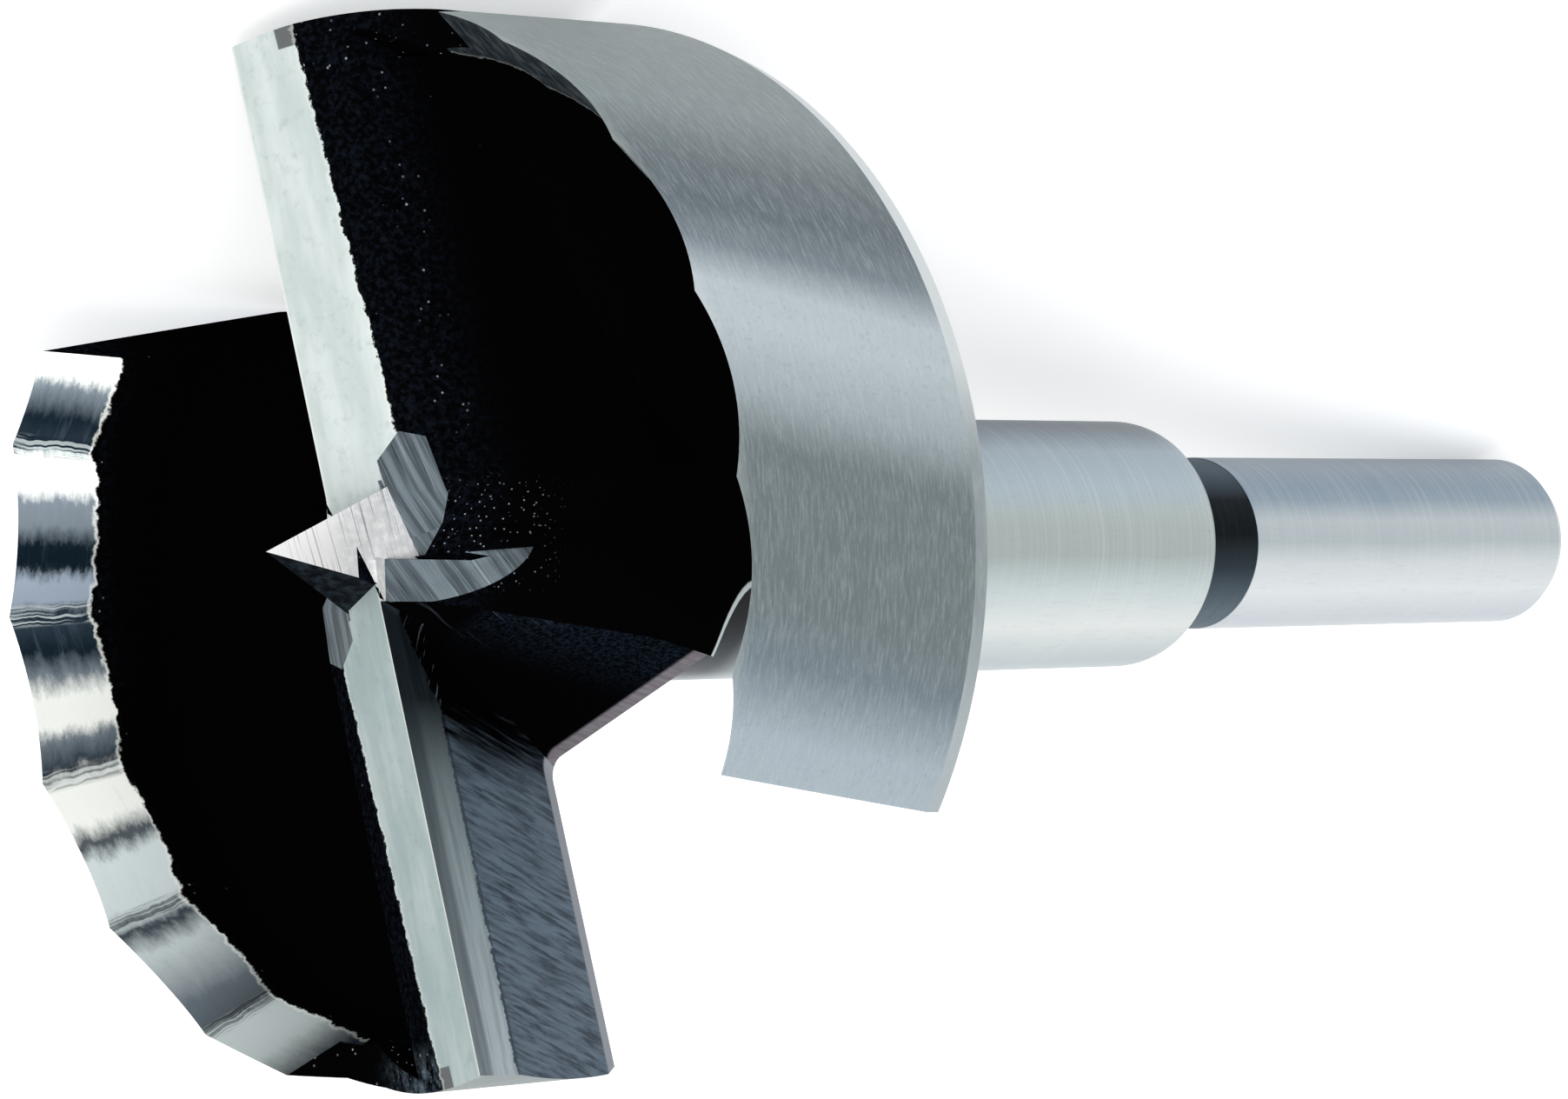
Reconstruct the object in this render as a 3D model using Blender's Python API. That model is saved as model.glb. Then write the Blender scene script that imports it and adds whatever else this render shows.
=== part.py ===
"""Forstner bit, 55 mm: a round head with a wavy rim, two lips and a centre point,
made in one piece with its collar and its round 10 mm shank.

The bit is shaped upright about its own axis, point up, with the top of the rim at
height zero. Everything on the head is made once and turned half a round for its
twin. At the end the bit is laid down as it comes to rest on a flat surface: on the
two corners of one chip gap and on the end of the shank.

Metres, +Z up.
"""

import math

import bmesh
import bpy
from mathutils import Matrix, Vector

# Head: outer size and the small chamfer round its back
HEAD_RADIUS = 0.0275
HEAD_THICKNESS = 0.0178
HEAD_CHAMFER_LENGTH = 0.0012
HEAD_CHAMFER_DEPTH = 0.0003

# Collar, neck and shank, each length measured from the part before it
COLLAR_RADIUS = 0.00704
COLLAR_LENGTH = 0.0425
COLLAR_ROUND_LENGTH = 0.0017
COLLAR_ROUND_DEPTH = 0.0008
ROUND_STEPS = 4
NECK_RADIUS = 0.00496
NECK_LENGTH = 0.0056
SHANK_RADIUS = 0.005
SHANK_LENGTH = 0.0298
SHANK_CHAMFER_LENGTH = 0.0009
SHANK_CHAMFER_DEPTH = 0.0005

# Rim: a ground bevel inside a thin wall, scalloped in even waves
RIM_BEVEL_ANGLE = math.radians(30.0)
RIM_WALL = 0.0023
RIM_START = math.radians(108.0)
WAVE_CREST = math.radians(7.4)
WAVE_PITCH = math.radians(19.4)
WAVE_DEPTH = 0.0008
STEPS_PER_WAVE = 8

# Lips: straight cutting edges, each a little ahead of the centre line. The land behind
# the edge is widest at the centre and loses this share of each length outward
LIP_ANGLE = math.radians(107.0)
LIP_AHEAD = 0.00117
LIP_DROP = 0.0002
LAND_WIDTH = 0.00525
LAND_TAPER = 0.05
LAND_RELIEF = math.radians(13.0)
SHOULDER_RELIEF = math.radians(21.0)
SHOULDER_WIDTH = 0.00105
RELIEF_OVERLAP = 0.0002
BAR_BACK_SLOPE = math.radians(25.0)
BAR_START = 0.0014

# Notch behind each lip, where the rim starts
NOTCH_DROP = 0.0037
NOTCH_FLOOR_END = 0.0134
NOTCH_WALL_SLOPE = math.radians(23.0)

# Rake under each cutting edge: a narrow ground facet, then the milled face
RAKE_FACET_DEPTH = 0.0034
RAKE_FACET_ANGLE = math.radians(12.0)
RAKE_ANGLE = math.radians(28.5)

# Chip gap ahead of each lip
GAP_WALL_ANGLE = math.radians(-63.3)
GAP_WALL_DISTANCE = 0.00305
GAP_WALL_SLOPE = math.radians(16.8)
GAP_CORNER_RADIUS = 0.0012
GAP_WEB_RADIUS = 0.0003
TRAILING_ANGLE = math.radians(-25.7)
TRAILING_LEAN = math.radians(9.6)

# Hollow between lip, rim and hub: its floor falls away from the lip like a screw
HOLLOW_START = math.radians(85.0)
HOLLOW_START_DEPTH = 0.009
HOLLOW_PITCH = 0.0336
HOLLOW_END = math.radians(-46.0)
HUB_RADIUS = 0.0032
HUB_SLOPE = math.radians(20.5)
HUB_FILLET = 0.0018
BOWL_WIDTH = 0.009
BOWL_RISE = 0.5
BOWL_STEPS = 8
FILLET_STEPS = 3

# Centre point: four ground faces that meet in edges at these angles
POINT_HEIGHT = 0.00563
POINT_FOOT = 0.004
POINT_EDGES = ((math.radians(65.7), 1.92), (math.radians(-41.6), 2.42))

# Slit at the point's foot, where the rake of lip two runs on into the point: the corners
# of its mouth on the point's face, and its deepest place
SLIT_MOUTH = ((0.001306, 0.00025, 0.000755), (0.001497, -0.00133, 0.000794),
              (0.001986, -0.00247, -0.000471))
SLIT_DEEPEST = (0.00153, -0.00172, -0.000248)
SLIT_STRETCH = 1.3

# Ground gash behind each lip, with two floors: each has its own outline, given as places
# along the lip and behind its edge, and the foot's floor is steeper toward the point
BACK_GASH_PLAN = ((0.0016, 0.0030), (0.0026, 0.0034), (0.0090, 0.0034), (0.0090, 0.0124),
                  (0.0002, 0.0124))
BACK_GASH_TILT = math.radians(18.7)
BACK_GASH_HEADING = math.radians(-4.6)
BACK_GASH_HEIGHT = -0.00079
FOOT_GASH_PLAN = ((-0.0009, 0.0024), (0.0023, 0.0032), (0.0085, 0.0032), (0.0085, 0.0120),
                  (-0.0014, 0.0120))
FOOT_GASH_TILT = math.radians(24.9)
FOOT_GASH_HEADING = math.radians(-45.2)
FOOT_GASH_HEIGHT = -0.00176

# Dark flank of the hub between the gashes: its outline in plan, and its floor
FLANK_PLAN = ((0.0019, -0.0004), (0.0042, -0.0005), (0.0056, 0.0001), (0.0095, 0.0005),
              (0.0095, 0.0070), (0.0019, 0.0030))
FLANK_TILT = math.radians(58.0)
FLANK_HEADING = math.radians(-42.0)
FLANK_HEIGHT = 0.00066

# Ground gash in front of each lip, from the point down the hub
FRONT_GASH_SETBACK = 0.00172
FRONT_GASH_SIDE = -0.0006
FRONT_GASH_END = 0.0030
FRONT_GASH_SPREAD = math.radians(-15.0)
FRONT_GASH_TILT = math.radians(57.4)
FRONT_GASH_HEADING = math.radians(7.5)
FRONT_GASH_HEIGHT = 0.00199
GASH_REACH = 0.009

# Room that a cutting shape leaves past what it cuts
CLEAR = 0.0015
BEYOND = 1.5 * HEAD_RADIUS
CUTTER_TOP = 2.0 * POINT_HEIGHT
CUTTER_BOTTOM = -2.0 * HEAD_THICKNESS
SEGMENTS = 112

# Times that the rest position is worked out afresh from the one before
REST_TRIES = 4


def clear_scene():
    """Start from an empty scene."""
    for obj in list(bpy.data.objects):
        bpy.data.objects.remove(obj, do_unlink=True)


def add_object(name, bm):
    """Turn a bmesh into an object with its faces pointing out."""
    bmesh.ops.remove_doubles(bm, verts=bm.verts, dist=1e-8)
    bmesh.ops.recalc_face_normals(bm, faces=bm.faces)
    mesh = bpy.data.meshes.new(name)
    bm.to_mesh(mesh)
    bm.free()
    obj = bpy.data.objects.new(name, mesh)
    bpy.context.collection.objects.link(obj)
    return obj


def loft(name, rings):
    """A closed body through rings of points, capped at both ends."""
    bm = bmesh.new()
    loops = [[bm.verts.new(point) for point in ring] for ring in rings]
    count = len(rings[0])
    for lower, upper in zip(loops, loops[1:]):
        for i in range(count):
            j = (i + 1) % count
            bm.faces.new((lower[i], lower[j], upper[j]))
            bm.faces.new((lower[i], upper[j], upper[i]))
    bm.faces.new(loops[0])
    bm.faces.new(loops[-1])
    return add_object(name, bm)


def revolve(name, profile, segments):
    """A turned body from (radius, height) pairs that start and end on the axis."""
    bm = bmesh.new()
    verts = [bm.verts.new((radius, 0.0, height)) for radius, height in profile]
    edges = [bm.edges.new(pair) for pair in zip(verts, verts[1:])]
    bmesh.ops.spin(bm, geom=verts + edges, cent=(0.0, 0.0, 0.0), axis=(0.0, 0.0, 1.0),
                   angle=2.0 * math.pi, steps=segments, use_merge=True)
    return add_object(name, bm)


def twins(tool):
    """The tool and its copy half a round on."""
    other = tool.copy()
    other.data = tool.data.copy()
    other.data.transform(Matrix.Rotation(math.pi, 4, "Z"))
    other.name = tool.name + "_twin"
    bpy.context.collection.objects.link(other)
    return tool, other


def combine(body, tools, operation):
    """Cut tools away from the body, or unite them with it."""
    for tool in tools:
        modifier = body.modifiers.new(tool.name, "BOOLEAN")
        modifier.operation = operation
        modifier.solver = "EXACT"
        modifier.object = tool
        tool.hide_render = True
        tool.display_type = "WIRE"


def settle(obj):
    """Keeps the shape that an object has after its cuts, so that it can be copied."""
    bpy.context.view_layer.update()
    shaped = obj.evaluated_get(bpy.context.evaluated_depsgraph_get())
    mesh = bpy.data.meshes.new_from_object(shaped)
    obj.modifiers.clear()
    obj.data = mesh


def polar(radius, angle, height):
    """A point on a circle round the axis."""
    return Vector((radius * math.cos(angle), radius * math.sin(angle), height))


def lip_point(along, behind, height):
    """A point beside lip one: outward along its edge, then square back from the edge."""
    outward = Vector((math.cos(LIP_ANGLE), math.sin(LIP_ANGLE), 0.0))
    forward = Vector((-outward.y, outward.x, 0.0))
    return outward * along + forward * (LIP_AHEAD - behind) + Vector((0.0, 0.0, height))


def half_turn(point):
    """The same place on the other half of the head."""
    return Vector((-point.x, -point.y, point.z))


def land_height(behind):
    """Height of the ground land at a distance behind the cutting edge."""
    return -LIP_DROP - behind * math.tan(LAND_RELIEF)


def crease_height():
    """Height where the shoulder ends and the back of the lip bar starts."""
    return land_height(LAND_WIDTH) - SHOULDER_WIDTH * math.tan(SHOULDER_RELIEF)


def rake_behind(height):
    """How far behind the cutting edge the rake face lies at a height."""
    depth = -LIP_DROP - height
    facet = min(depth, RAKE_FACET_DEPTH)
    milled = max(depth - RAKE_FACET_DEPTH, 0.0)
    return facet * math.tan(RAKE_FACET_ANGLE) + milled * math.tan(RAKE_ANGLE)


def trailing_offset(height):
    """How far the leaning end wall of the rim stands off its middle plane at a height."""
    return (height + HEAD_THICKNESS / 2.0) * math.tan(TRAILING_LEAN)


def blank_profile():
    """The turned outline of the whole bit, from the front down to the shank's end."""
    back = -HEAD_THICKNESS
    collar_end = back - COLLAR_LENGTH
    neck_end = collar_end - NECK_LENGTH
    end = neck_end - SHANK_LENGTH
    profile = [
        (0.0, CLEAR),
        (HEAD_RADIUS, CLEAR),
        (HEAD_RADIUS, back + HEAD_CHAMFER_LENGTH),
        (HEAD_RADIUS - HEAD_CHAMFER_DEPTH, back),
        (COLLAR_RADIUS, back),
    ]
    for i in range(ROUND_STEPS + 1):
        turn = 0.5 * math.pi * i / ROUND_STEPS
        profile.append((COLLAR_RADIUS - COLLAR_ROUND_DEPTH * (1.0 - math.cos(turn)),
                        collar_end + COLLAR_ROUND_LENGTH * (1.0 - math.sin(turn))))
    return profile + [
        (NECK_RADIUS, collar_end),
        (NECK_RADIUS, neck_end),
        (SHANK_RADIUS, neck_end),
        (SHANK_RADIUS, end + SHANK_CHAMFER_LENGTH),
        (SHANK_RADIUS - SHANK_CHAMFER_DEPTH, end),
        (0.0, end),
    ]


def relief_section(along):
    """Section of the relief, square to the lip, at a place along it."""
    land = LAND_WIDTH - LAND_TAPER * along
    notch_start = land + (land_height(land) + NOTCH_DROP) / math.tan(SHOULDER_RELIEF)
    wall_top = NOTCH_FLOOR_END + (CUTTER_TOP + NOTCH_DROP) * math.tan(NOTCH_WALL_SLOPE)
    return [
        (-BEYOND, CUTTER_TOP),
        (wall_top, CUTTER_TOP),
        (NOTCH_FLOOR_END, -NOTCH_DROP),
        (notch_start, -NOTCH_DROP),
        (land, land_height(land)),
        (-BEYOND, land_height(-BEYOND)),
    ]


def relief_tool():
    """Clears the front of a lip: land, shoulder and the notch up to the start of the rim."""
    rings = [[lip_point(along, behind, height) for behind, height in relief_section(along)]
             for along in (-RELIEF_OVERLAP, BEYOND)]
    return loft("relief", rings)


def floor_tool(name, corners, heading, tilt, middle_height):
    """A cutter with upright walls over a floor that falls toward its heading."""
    fall = polar(math.tan(tilt), heading, 0.0)
    floor = [Vector((c.x, c.y, middle_height - c.dot(fall))) for c in corners]
    lid = [Vector((c.x, c.y, CUTTER_TOP)) for c in corners]
    return loft(name, [floor, lid])


def back_gash_tools():
    """The two floors of the gash behind the inner end of lip one, and the hub's flank."""
    back = [lip_point(along, behind, 0.0) for along, behind in BACK_GASH_PLAN]
    foot = [lip_point(along, behind, 0.0) for along, behind in FOOT_GASH_PLAN]
    flank = [Vector((x, y, 0.0)) for x, y in FLANK_PLAN]
    return [floor_tool("back_gash", back, BACK_GASH_HEADING, BACK_GASH_TILT, BACK_GASH_HEIGHT),
            floor_tool("foot_gash", foot, FOOT_GASH_HEADING, FOOT_GASH_TILT, FOOT_GASH_HEIGHT),
            floor_tool("flank", flank, FLANK_HEADING, FLANK_TILT, FLANK_HEIGHT)]


def front_gash_tool():
    """Steep ground facet on the web in front of lip two, from the point down the hub."""
    ahead = polar(1.0, FRONT_GASH_HEADING, 0.0)
    side = Vector((-ahead.y, ahead.x, 0.0))
    near = ahead * FRONT_GASH_SETBACK + side * FRONT_GASH_SIDE
    lip_end = half_turn(lip_point(FRONT_GASH_END, 0.0, 0.0))
    corners = [near, lip_end, lip_end + polar(GASH_REACH, FRONT_GASH_SPREAD, 0.0),
               near + ahead * GASH_REACH]
    return floor_tool("front_gash", corners, FRONT_GASH_HEADING, FRONT_GASH_TILT,
                      FRONT_GASH_HEIGHT)


def point_solid():
    """The centre point, a four-sided pyramid with its foot inside the hub."""
    height = POINT_HEIGHT + POINT_FOOT
    foot = []
    for turn in (0.0, math.pi):
        for angle, steepness in POINT_EDGES:
            foot.append((angle + turn, height / steepness))
    foot.sort(key=lambda corner: corner[0])
    bm = bmesh.new()
    tip = bm.verts.new((0.0, 0.0, POINT_HEIGHT))
    base = [bm.verts.new(polar(radius, angle, -POINT_FOOT)) for angle, radius in foot]
    for first, second in zip(base, base[1:] + base[:1]):
        bm.faces.new((first, second, tip))
    bm.faces.new(base)
    return add_object("point", bm)


def slit_tool():
    """A wedge whose mouth lies on the point's face, stretched out past it."""
    deepest = Vector(SLIT_DEEPEST)
    mouth = [deepest + (Vector(corner) - deepest) * SLIT_STRETCH for corner in SLIT_MOUTH]
    bm = bmesh.new()
    bottom = bm.verts.new(deepest)
    corners = [bm.verts.new(corner) for corner in mouth]
    for first, second in zip(corners, corners[1:] + corners[:1]):
        bm.faces.new((first, second, bottom))
    bm.faces.new(corners)
    return add_object("slit", bm)


def cross(first, second):
    """Where two plan lines, each a point and a direction, meet."""
    p, u = first
    q, v = second
    det = u.x * v.y - u.y * v.x
    t = ((q.x - p.x) * v.y - (q.y - p.y) * v.x) / det
    return p + u * t


def rounded_corner(corner, before, after, radius):
    """Points of a plan corner rounded to a radius."""
    a = (before - corner).normalized()
    b = (after - corner).normalized()
    half = a.angle(b) / 2.0
    centre = corner + (a + b).normalized() * (radius / math.sin(half))
    start = corner + a * (radius / math.tan(half)) - centre
    end = corner + b * (radius / math.tan(half)) - centre
    points = []
    for i in range(FILLET_STEPS + 1):
        spoke = start.lerp(end, i / FILLET_STEPS).normalized() * radius
        points.append(centre + spoke)
    return points


def gap_ring(height, corner_radius):
    """Plan outline of the chip gap ahead of lip two at a height."""
    behind = rake_behind(height)
    edge_inner = half_turn(lip_point(0.0, behind, 0.0))
    edge_outer = half_turn(lip_point(BEYOND, behind, 0.0))
    normal = polar(1.0, GAP_WALL_ANGLE, 0.0)
    depth = max(-height - LIP_DROP, 0.0)
    wall = normal * (GAP_WALL_DISTANCE + depth * math.tan(GAP_WALL_SLOPE))
    wall_run = Vector((-normal.y, normal.x, 0.0))
    trailing = polar(1.0, TRAILING_ANGLE, 0.0)
    end_wall = Vector((-trailing.y, trailing.x, 0.0)) * trailing_offset(height)
    turn = cross((wall, wall_run), (end_wall, trailing))
    corner = cross((edge_inner, edge_outer - edge_inner), (wall, wall_run))
    plan = [edge_outer] + rounded_corner(corner, edge_outer, turn, corner_radius)
    plan += [turn, end_wall + trailing * BEYOND]
    return [Vector((point.x, point.y, height)) for point in plan]


def gap_tool():
    """The chip gap, open from the front to the back of the head."""
    return loft("gap", [
        gap_ring(-HEAD_THICKNESS - CLEAR, GAP_CORNER_RADIUS),
        gap_ring(-LIP_DROP - RAKE_FACET_DEPTH, GAP_CORNER_RADIUS),
        gap_ring(-LIP_DROP, GAP_WEB_RADIUS),
        gap_ring(CUTTER_TOP, GAP_WEB_RADIUS),
    ])


def rim_edge_height(angle):
    """Height of the rim's cutting edge: crests at even steps, a shallow scallop between."""
    phase = ((angle - WAVE_CREST) / WAVE_PITCH) % 1.0
    return -WAVE_DEPTH * (1.0 - (2.0 * phase - 1.0) ** 2)


def hollow_depth(angle):
    """Depth of the hollow's floor, which falls evenly round from the back of the lip."""
    return HOLLOW_START_DEPTH + HOLLOW_PITCH * (HOLLOW_START - angle) / (2.0 * math.pi)


def hollow_section(angle):
    """Radial section of the hollow: hub side, floor, bowl, rim wall and bevel."""
    depth = hollow_depth(angle)
    wall = HEAD_RADIUS - RIM_WALL
    edge = rim_edge_height(angle)
    steep = 1.0 / math.tan(RIM_BEVEL_ANGLE)
    foot = HUB_RADIUS + depth * math.tan(HUB_SLOPE)
    section = [(HUB_RADIUS, POINT_HEIGHT), (HUB_RADIUS, 0.0)]
    for i in range(FILLET_STEPS + 1):
        turn = 0.5 * math.pi * i / FILLET_STEPS
        rise = HUB_FILLET * (1.0 - math.sin(turn))
        lean = rise * math.tan(HUB_SLOPE)
        section.append((foot - lean + HUB_FILLET * (1.0 - math.cos(turn)), rise - depth))
    for i in range(BOWL_STEPS + 1):
        turn = 0.5 * math.pi * i / BOWL_STEPS
        radius = wall - BOWL_WIDTH * (1.0 - math.sin(turn))
        section.append((radius, -depth + BOWL_RISE * depth * (1.0 - math.cos(turn))))
    section.append((wall, edge - RIM_WALL * steep))
    section.append((HEAD_RADIUS + CLEAR, edge + CLEAR * steep))
    section.append((HEAD_RADIUS + CLEAR, POINT_HEIGHT))
    return section


def hollow_tool():
    """The hollow behind lip one, with the rim's wavy bevel as its outer border."""
    step = WAVE_PITCH / STEPS_PER_WAVE
    first = math.floor((HOLLOW_END - WAVE_CREST) / step)
    last = math.ceil((RIM_START - WAVE_CREST) / step)
    rings = []
    for i in range(first, last + 1):
        angle = WAVE_CREST + i * step
        rings.append([polar(radius, angle, height) for radius, height in hollow_section(angle)])
    return loft("hollow", rings)


def bar_ring(behind, height):
    """Plan outline, at a height, of the bar that carries lip one and of the hub beside it."""
    inner = BAR_START - behind
    return [
        lip_point(BEYOND, -BEYOND, height),
        lip_point(BEYOND, behind, height),
        lip_point(BAR_START, behind, height),
        lip_point(inner, 0.0, height),
        lip_point(inner, -BEYOND, height),
    ]


def bar_keeper():
    """The bar that carries lip one, which the hollow stays behind."""
    crease = LAND_WIDTH + SHOULDER_WIDTH
    foot = crease + (crease_height() - CUTTER_BOTTOM) * math.tan(BAR_BACK_SLOPE)
    return loft("bar_keeper", [bar_ring(foot, CUTTER_BOTTOM),
                               bar_ring(crease, crease_height()),
                               bar_ring(crease, CUTTER_TOP)])


def sink(station, tilt):
    """How far a (radius, height) place on the lying bit's underside reaches down."""
    return station[0] * math.cos(tilt) - station[1] * math.sin(tilt)


def rest_matrix():
    """Lays the bit down on the corners of one chip gap and the end of its shank."""
    back = -HEAD_THICKNESS
    lip_corner = LIP_ANGLE + math.asin((LIP_AHEAD - rake_behind(back)) / HEAD_RADIUS)
    trailing_corner = math.pi + TRAILING_ANGLE + math.asin(trailing_offset(back) / HEAD_RADIUS)
    middle = (lip_corner + trailing_corner) / 2.0
    reach = math.cos((trailing_corner - lip_corner) / 2.0)
    end = back - COLLAR_LENGTH - NECK_LENGTH - SHANK_LENGTH
    head_stations = [
        (HEAD_RADIUS * reach, back + HEAD_CHAMFER_LENGTH),
        ((HEAD_RADIUS - HEAD_CHAMFER_DEPTH) * reach, back),
    ]
    shank_stations = [
        (SHANK_RADIUS, end + SHANK_CHAMFER_LENGTH),
        (SHANK_RADIUS - SHANK_CHAMFER_DEPTH, end),
    ]
    tilt = 0.0
    for _ in range(REST_TRIES):
        head = max(head_stations, key=lambda station: sink(station, tilt))
        shank = max(shank_stations, key=lambda station: sink(station, tilt))
        tilt = math.atan2(head[0] - shank[0], head[1] - shank[1])
    down = Matrix.Rotation(math.pi - middle, 4, "Z")
    lay = Matrix.Rotation(-0.5 * math.pi + tilt, 4, "Y")
    return lay @ down


def set_on_origin(body, pose):
    """Moves the bit and its cutters so that the middle of its box's underside is the origin."""
    bpy.context.view_layer.update()
    shaped = body.evaluated_get(bpy.context.evaluated_depsgraph_get())
    points = [pose @ vert.co for vert in shaped.to_mesh().vertices]
    low = [min(point[i] for point in points) for i in range(3)]
    high = [max(point[i] for point in points) for i in range(3)]
    shaped.to_mesh_clear()
    middle = Vector(((low[0] + high[0]) / 2.0, (low[1] + high[1]) / 2.0, low[2]))
    for obj in bpy.data.objects:
        obj.matrix_world = Matrix.Translation(-middle) @ pose


def steel():
    """Bright ground steel."""
    material = bpy.data.materials.new("ground_steel")
    material.use_nodes = True
    shader = material.node_tree.nodes["Principled BSDF"]
    shader.inputs["Base Color"].default_value = (0.56, 0.58, 0.59, 1.0)
    shader.inputs["Metallic"].default_value = 1.0
    shader.inputs["Roughness"].default_value = 0.32
    return material


def build():
    clear_scene()
    body = revolve("forstner_bit", blank_profile(), SEGMENTS)
    body.data.materials.append(steel())
    body.data.shade_smooth()
    body.data.set_sharp_from_angle(angle=math.radians(30.0))
    combine(body, twins(relief_tool()), "DIFFERENCE")
    for gash in back_gash_tools():
        combine(body, twins(gash), "DIFFERENCE")
    combine(body, [point_solid()], "UNION")
    hollow = hollow_tool()
    keeper = bar_keeper()
    combine(hollow, [keeper], "DIFFERENCE")
    settle(hollow)
    bpy.data.objects.remove(keeper, do_unlink=True)
    combine(body, twins(hollow), "DIFFERENCE")
    combine(body, twins(gap_tool()), "DIFFERENCE")
    combine(body, twins(front_gash_tool()), "DIFFERENCE")
    combine(body, twins(slit_tool()), "DIFFERENCE")
    set_on_origin(body, rest_matrix())


build()
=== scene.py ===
"""Forstner bit, 55 mm: the looks.

The CAD bit is replaced by a finer body made the same way, from the same sizes, so that
every cut leaves its own finish on the surface: brushed rim, ground bevel, pale lands,
milled chip gaps, blackened hollows, bright collar and shank. Reflection bands, highlights,
glints and shade are painted into the finishes too.

The body is shaped upright about its own axis in metres, point up, and then lies down in
the frame's rest pose. Each material turns its coordinates back, so it sees the bit upright.
"""

import math
from types import SimpleNamespace

import bmesh
import bpy
from mathutils import Matrix, Vector


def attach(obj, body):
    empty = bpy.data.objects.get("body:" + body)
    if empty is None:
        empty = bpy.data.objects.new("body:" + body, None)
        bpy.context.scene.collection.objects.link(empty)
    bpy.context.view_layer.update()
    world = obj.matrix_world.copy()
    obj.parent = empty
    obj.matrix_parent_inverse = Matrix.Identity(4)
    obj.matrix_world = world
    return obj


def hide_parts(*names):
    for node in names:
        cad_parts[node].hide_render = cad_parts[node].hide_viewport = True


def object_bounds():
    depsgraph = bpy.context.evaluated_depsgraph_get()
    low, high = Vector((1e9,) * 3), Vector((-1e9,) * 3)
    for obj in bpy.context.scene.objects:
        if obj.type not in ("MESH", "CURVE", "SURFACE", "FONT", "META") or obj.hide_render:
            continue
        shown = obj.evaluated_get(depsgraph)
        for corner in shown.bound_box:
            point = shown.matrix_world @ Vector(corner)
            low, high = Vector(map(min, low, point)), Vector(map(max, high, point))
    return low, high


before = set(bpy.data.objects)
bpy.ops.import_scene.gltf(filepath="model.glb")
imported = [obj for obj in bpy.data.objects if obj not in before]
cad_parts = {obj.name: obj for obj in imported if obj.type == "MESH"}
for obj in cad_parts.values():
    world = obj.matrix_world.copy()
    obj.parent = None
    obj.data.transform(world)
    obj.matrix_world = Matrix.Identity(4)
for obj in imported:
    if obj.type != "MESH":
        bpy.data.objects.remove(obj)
cad_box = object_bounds()

# Head: outer size and the small chamfer round its back
HEAD_RADIUS = 0.0275
HEAD_THICKNESS = 0.0178
HEAD_CHAMFER_LENGTH = 0.0012
HEAD_CHAMFER_DEPTH = 0.0003

# Collar, neck and shank, each length measured from the part before it
COLLAR_RADIUS = 0.00704
COLLAR_LENGTH = 0.0425
COLLAR_ROUND_LENGTH = 0.0017
COLLAR_ROUND_DEPTH = 0.0008
ROUND_STEPS = 8
NECK_RADIUS = 0.00496
NECK_LENGTH = 0.0056
SHANK_RADIUS = 0.005
SHANK_LENGTH = 0.0298
SHANK_CHAMFER_LENGTH = 0.0009
SHANK_CHAMFER_DEPTH = 0.0005

# Rim: a ground bevel inside a thin wall, scalloped in even waves
RIM_BEVEL_ANGLE = math.radians(30.0)
RIM_WALL = 0.0023
RIM_START = math.radians(108.0)
WAVE_CREST = math.radians(7.4)
WAVE_PITCH = math.radians(19.4)
WAVE_DEPTH = 0.0008
STEPS_PER_WAVE = 24

# Lips: straight cutting edges, each a little ahead of the centre line. The land behind
# the edge is widest at the centre and loses this share of each length outward
LIP_ANGLE = math.radians(107.0)
LIP_AHEAD = 0.00117
LIP_DROP = 0.0002
LAND_WIDTH = 0.00525
LAND_TAPER = 0.05
LAND_RELIEF = math.radians(13.0)
SHOULDER_RELIEF = math.radians(21.0)
SHOULDER_WIDTH = 0.00105
RELIEF_OVERLAP = 0.0002
BAR_BACK_SLOPE = math.radians(25.0)
BAR_START = 0.0014

# Notch behind each lip, where the rim starts
NOTCH_DROP = 0.0037
NOTCH_FLOOR_END = 0.0134
NOTCH_WALL_SLOPE = math.radians(23.0)

# Which side of the relief's section, counted round it, is the land
LAND_SIDE = 4

# Rake under each cutting edge: a narrow ground facet, then the milled face
RAKE_FACET_DEPTH = 0.0034
RAKE_FACET_ANGLE = math.radians(12.0)
RAKE_ANGLE = math.radians(28.5)

# Chip gap ahead of each lip
GAP_WALL_ANGLE = math.radians(-63.3)
GAP_WALL_DISTANCE = 0.00305
GAP_WALL_SLOPE = math.radians(16.8)
GAP_CORNER_RADIUS = 0.0012
GAP_WEB_RADIUS = 0.0003
TRAILING_ANGLE = math.radians(-25.7)
TRAILING_LEAN = math.radians(9.6)

# Hollow between lip, rim and hub: its floor falls away from the lip like a screw
HOLLOW_START = math.radians(85.0)
HOLLOW_START_DEPTH = 0.009
HOLLOW_PITCH = 0.0336
HOLLOW_END = math.radians(-46.0)
HUB_RADIUS = 0.0032
HUB_SLOPE = math.radians(20.5)
HUB_FILLET = 0.0018
BOWL_WIDTH = 0.009
BOWL_RISE = 0.5
BOWL_STEPS = 24
FILLET_STEPS = 8

# Centre point: four ground faces that meet in edges at these angles
POINT_HEIGHT = 0.00563
POINT_FOOT = 0.004
POINT_EDGES = ((math.radians(65.7), 1.92), (math.radians(-41.6), 2.42))

# Slit at the point's foot, where the rake of lip two runs on into the point: the corners
# of its mouth on the point's face, its deepest place, and how far it is stretched past the face
SLIT_MOUTH = ((0.001306, 0.00025, 0.000755), (0.001497, -0.00133, 0.000794),
              (0.001986, -0.00247, -0.000471))
SLIT_DEEPEST = (0.00153, -0.00172, -0.000248)
SLIT_STRETCH = 1.3

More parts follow.
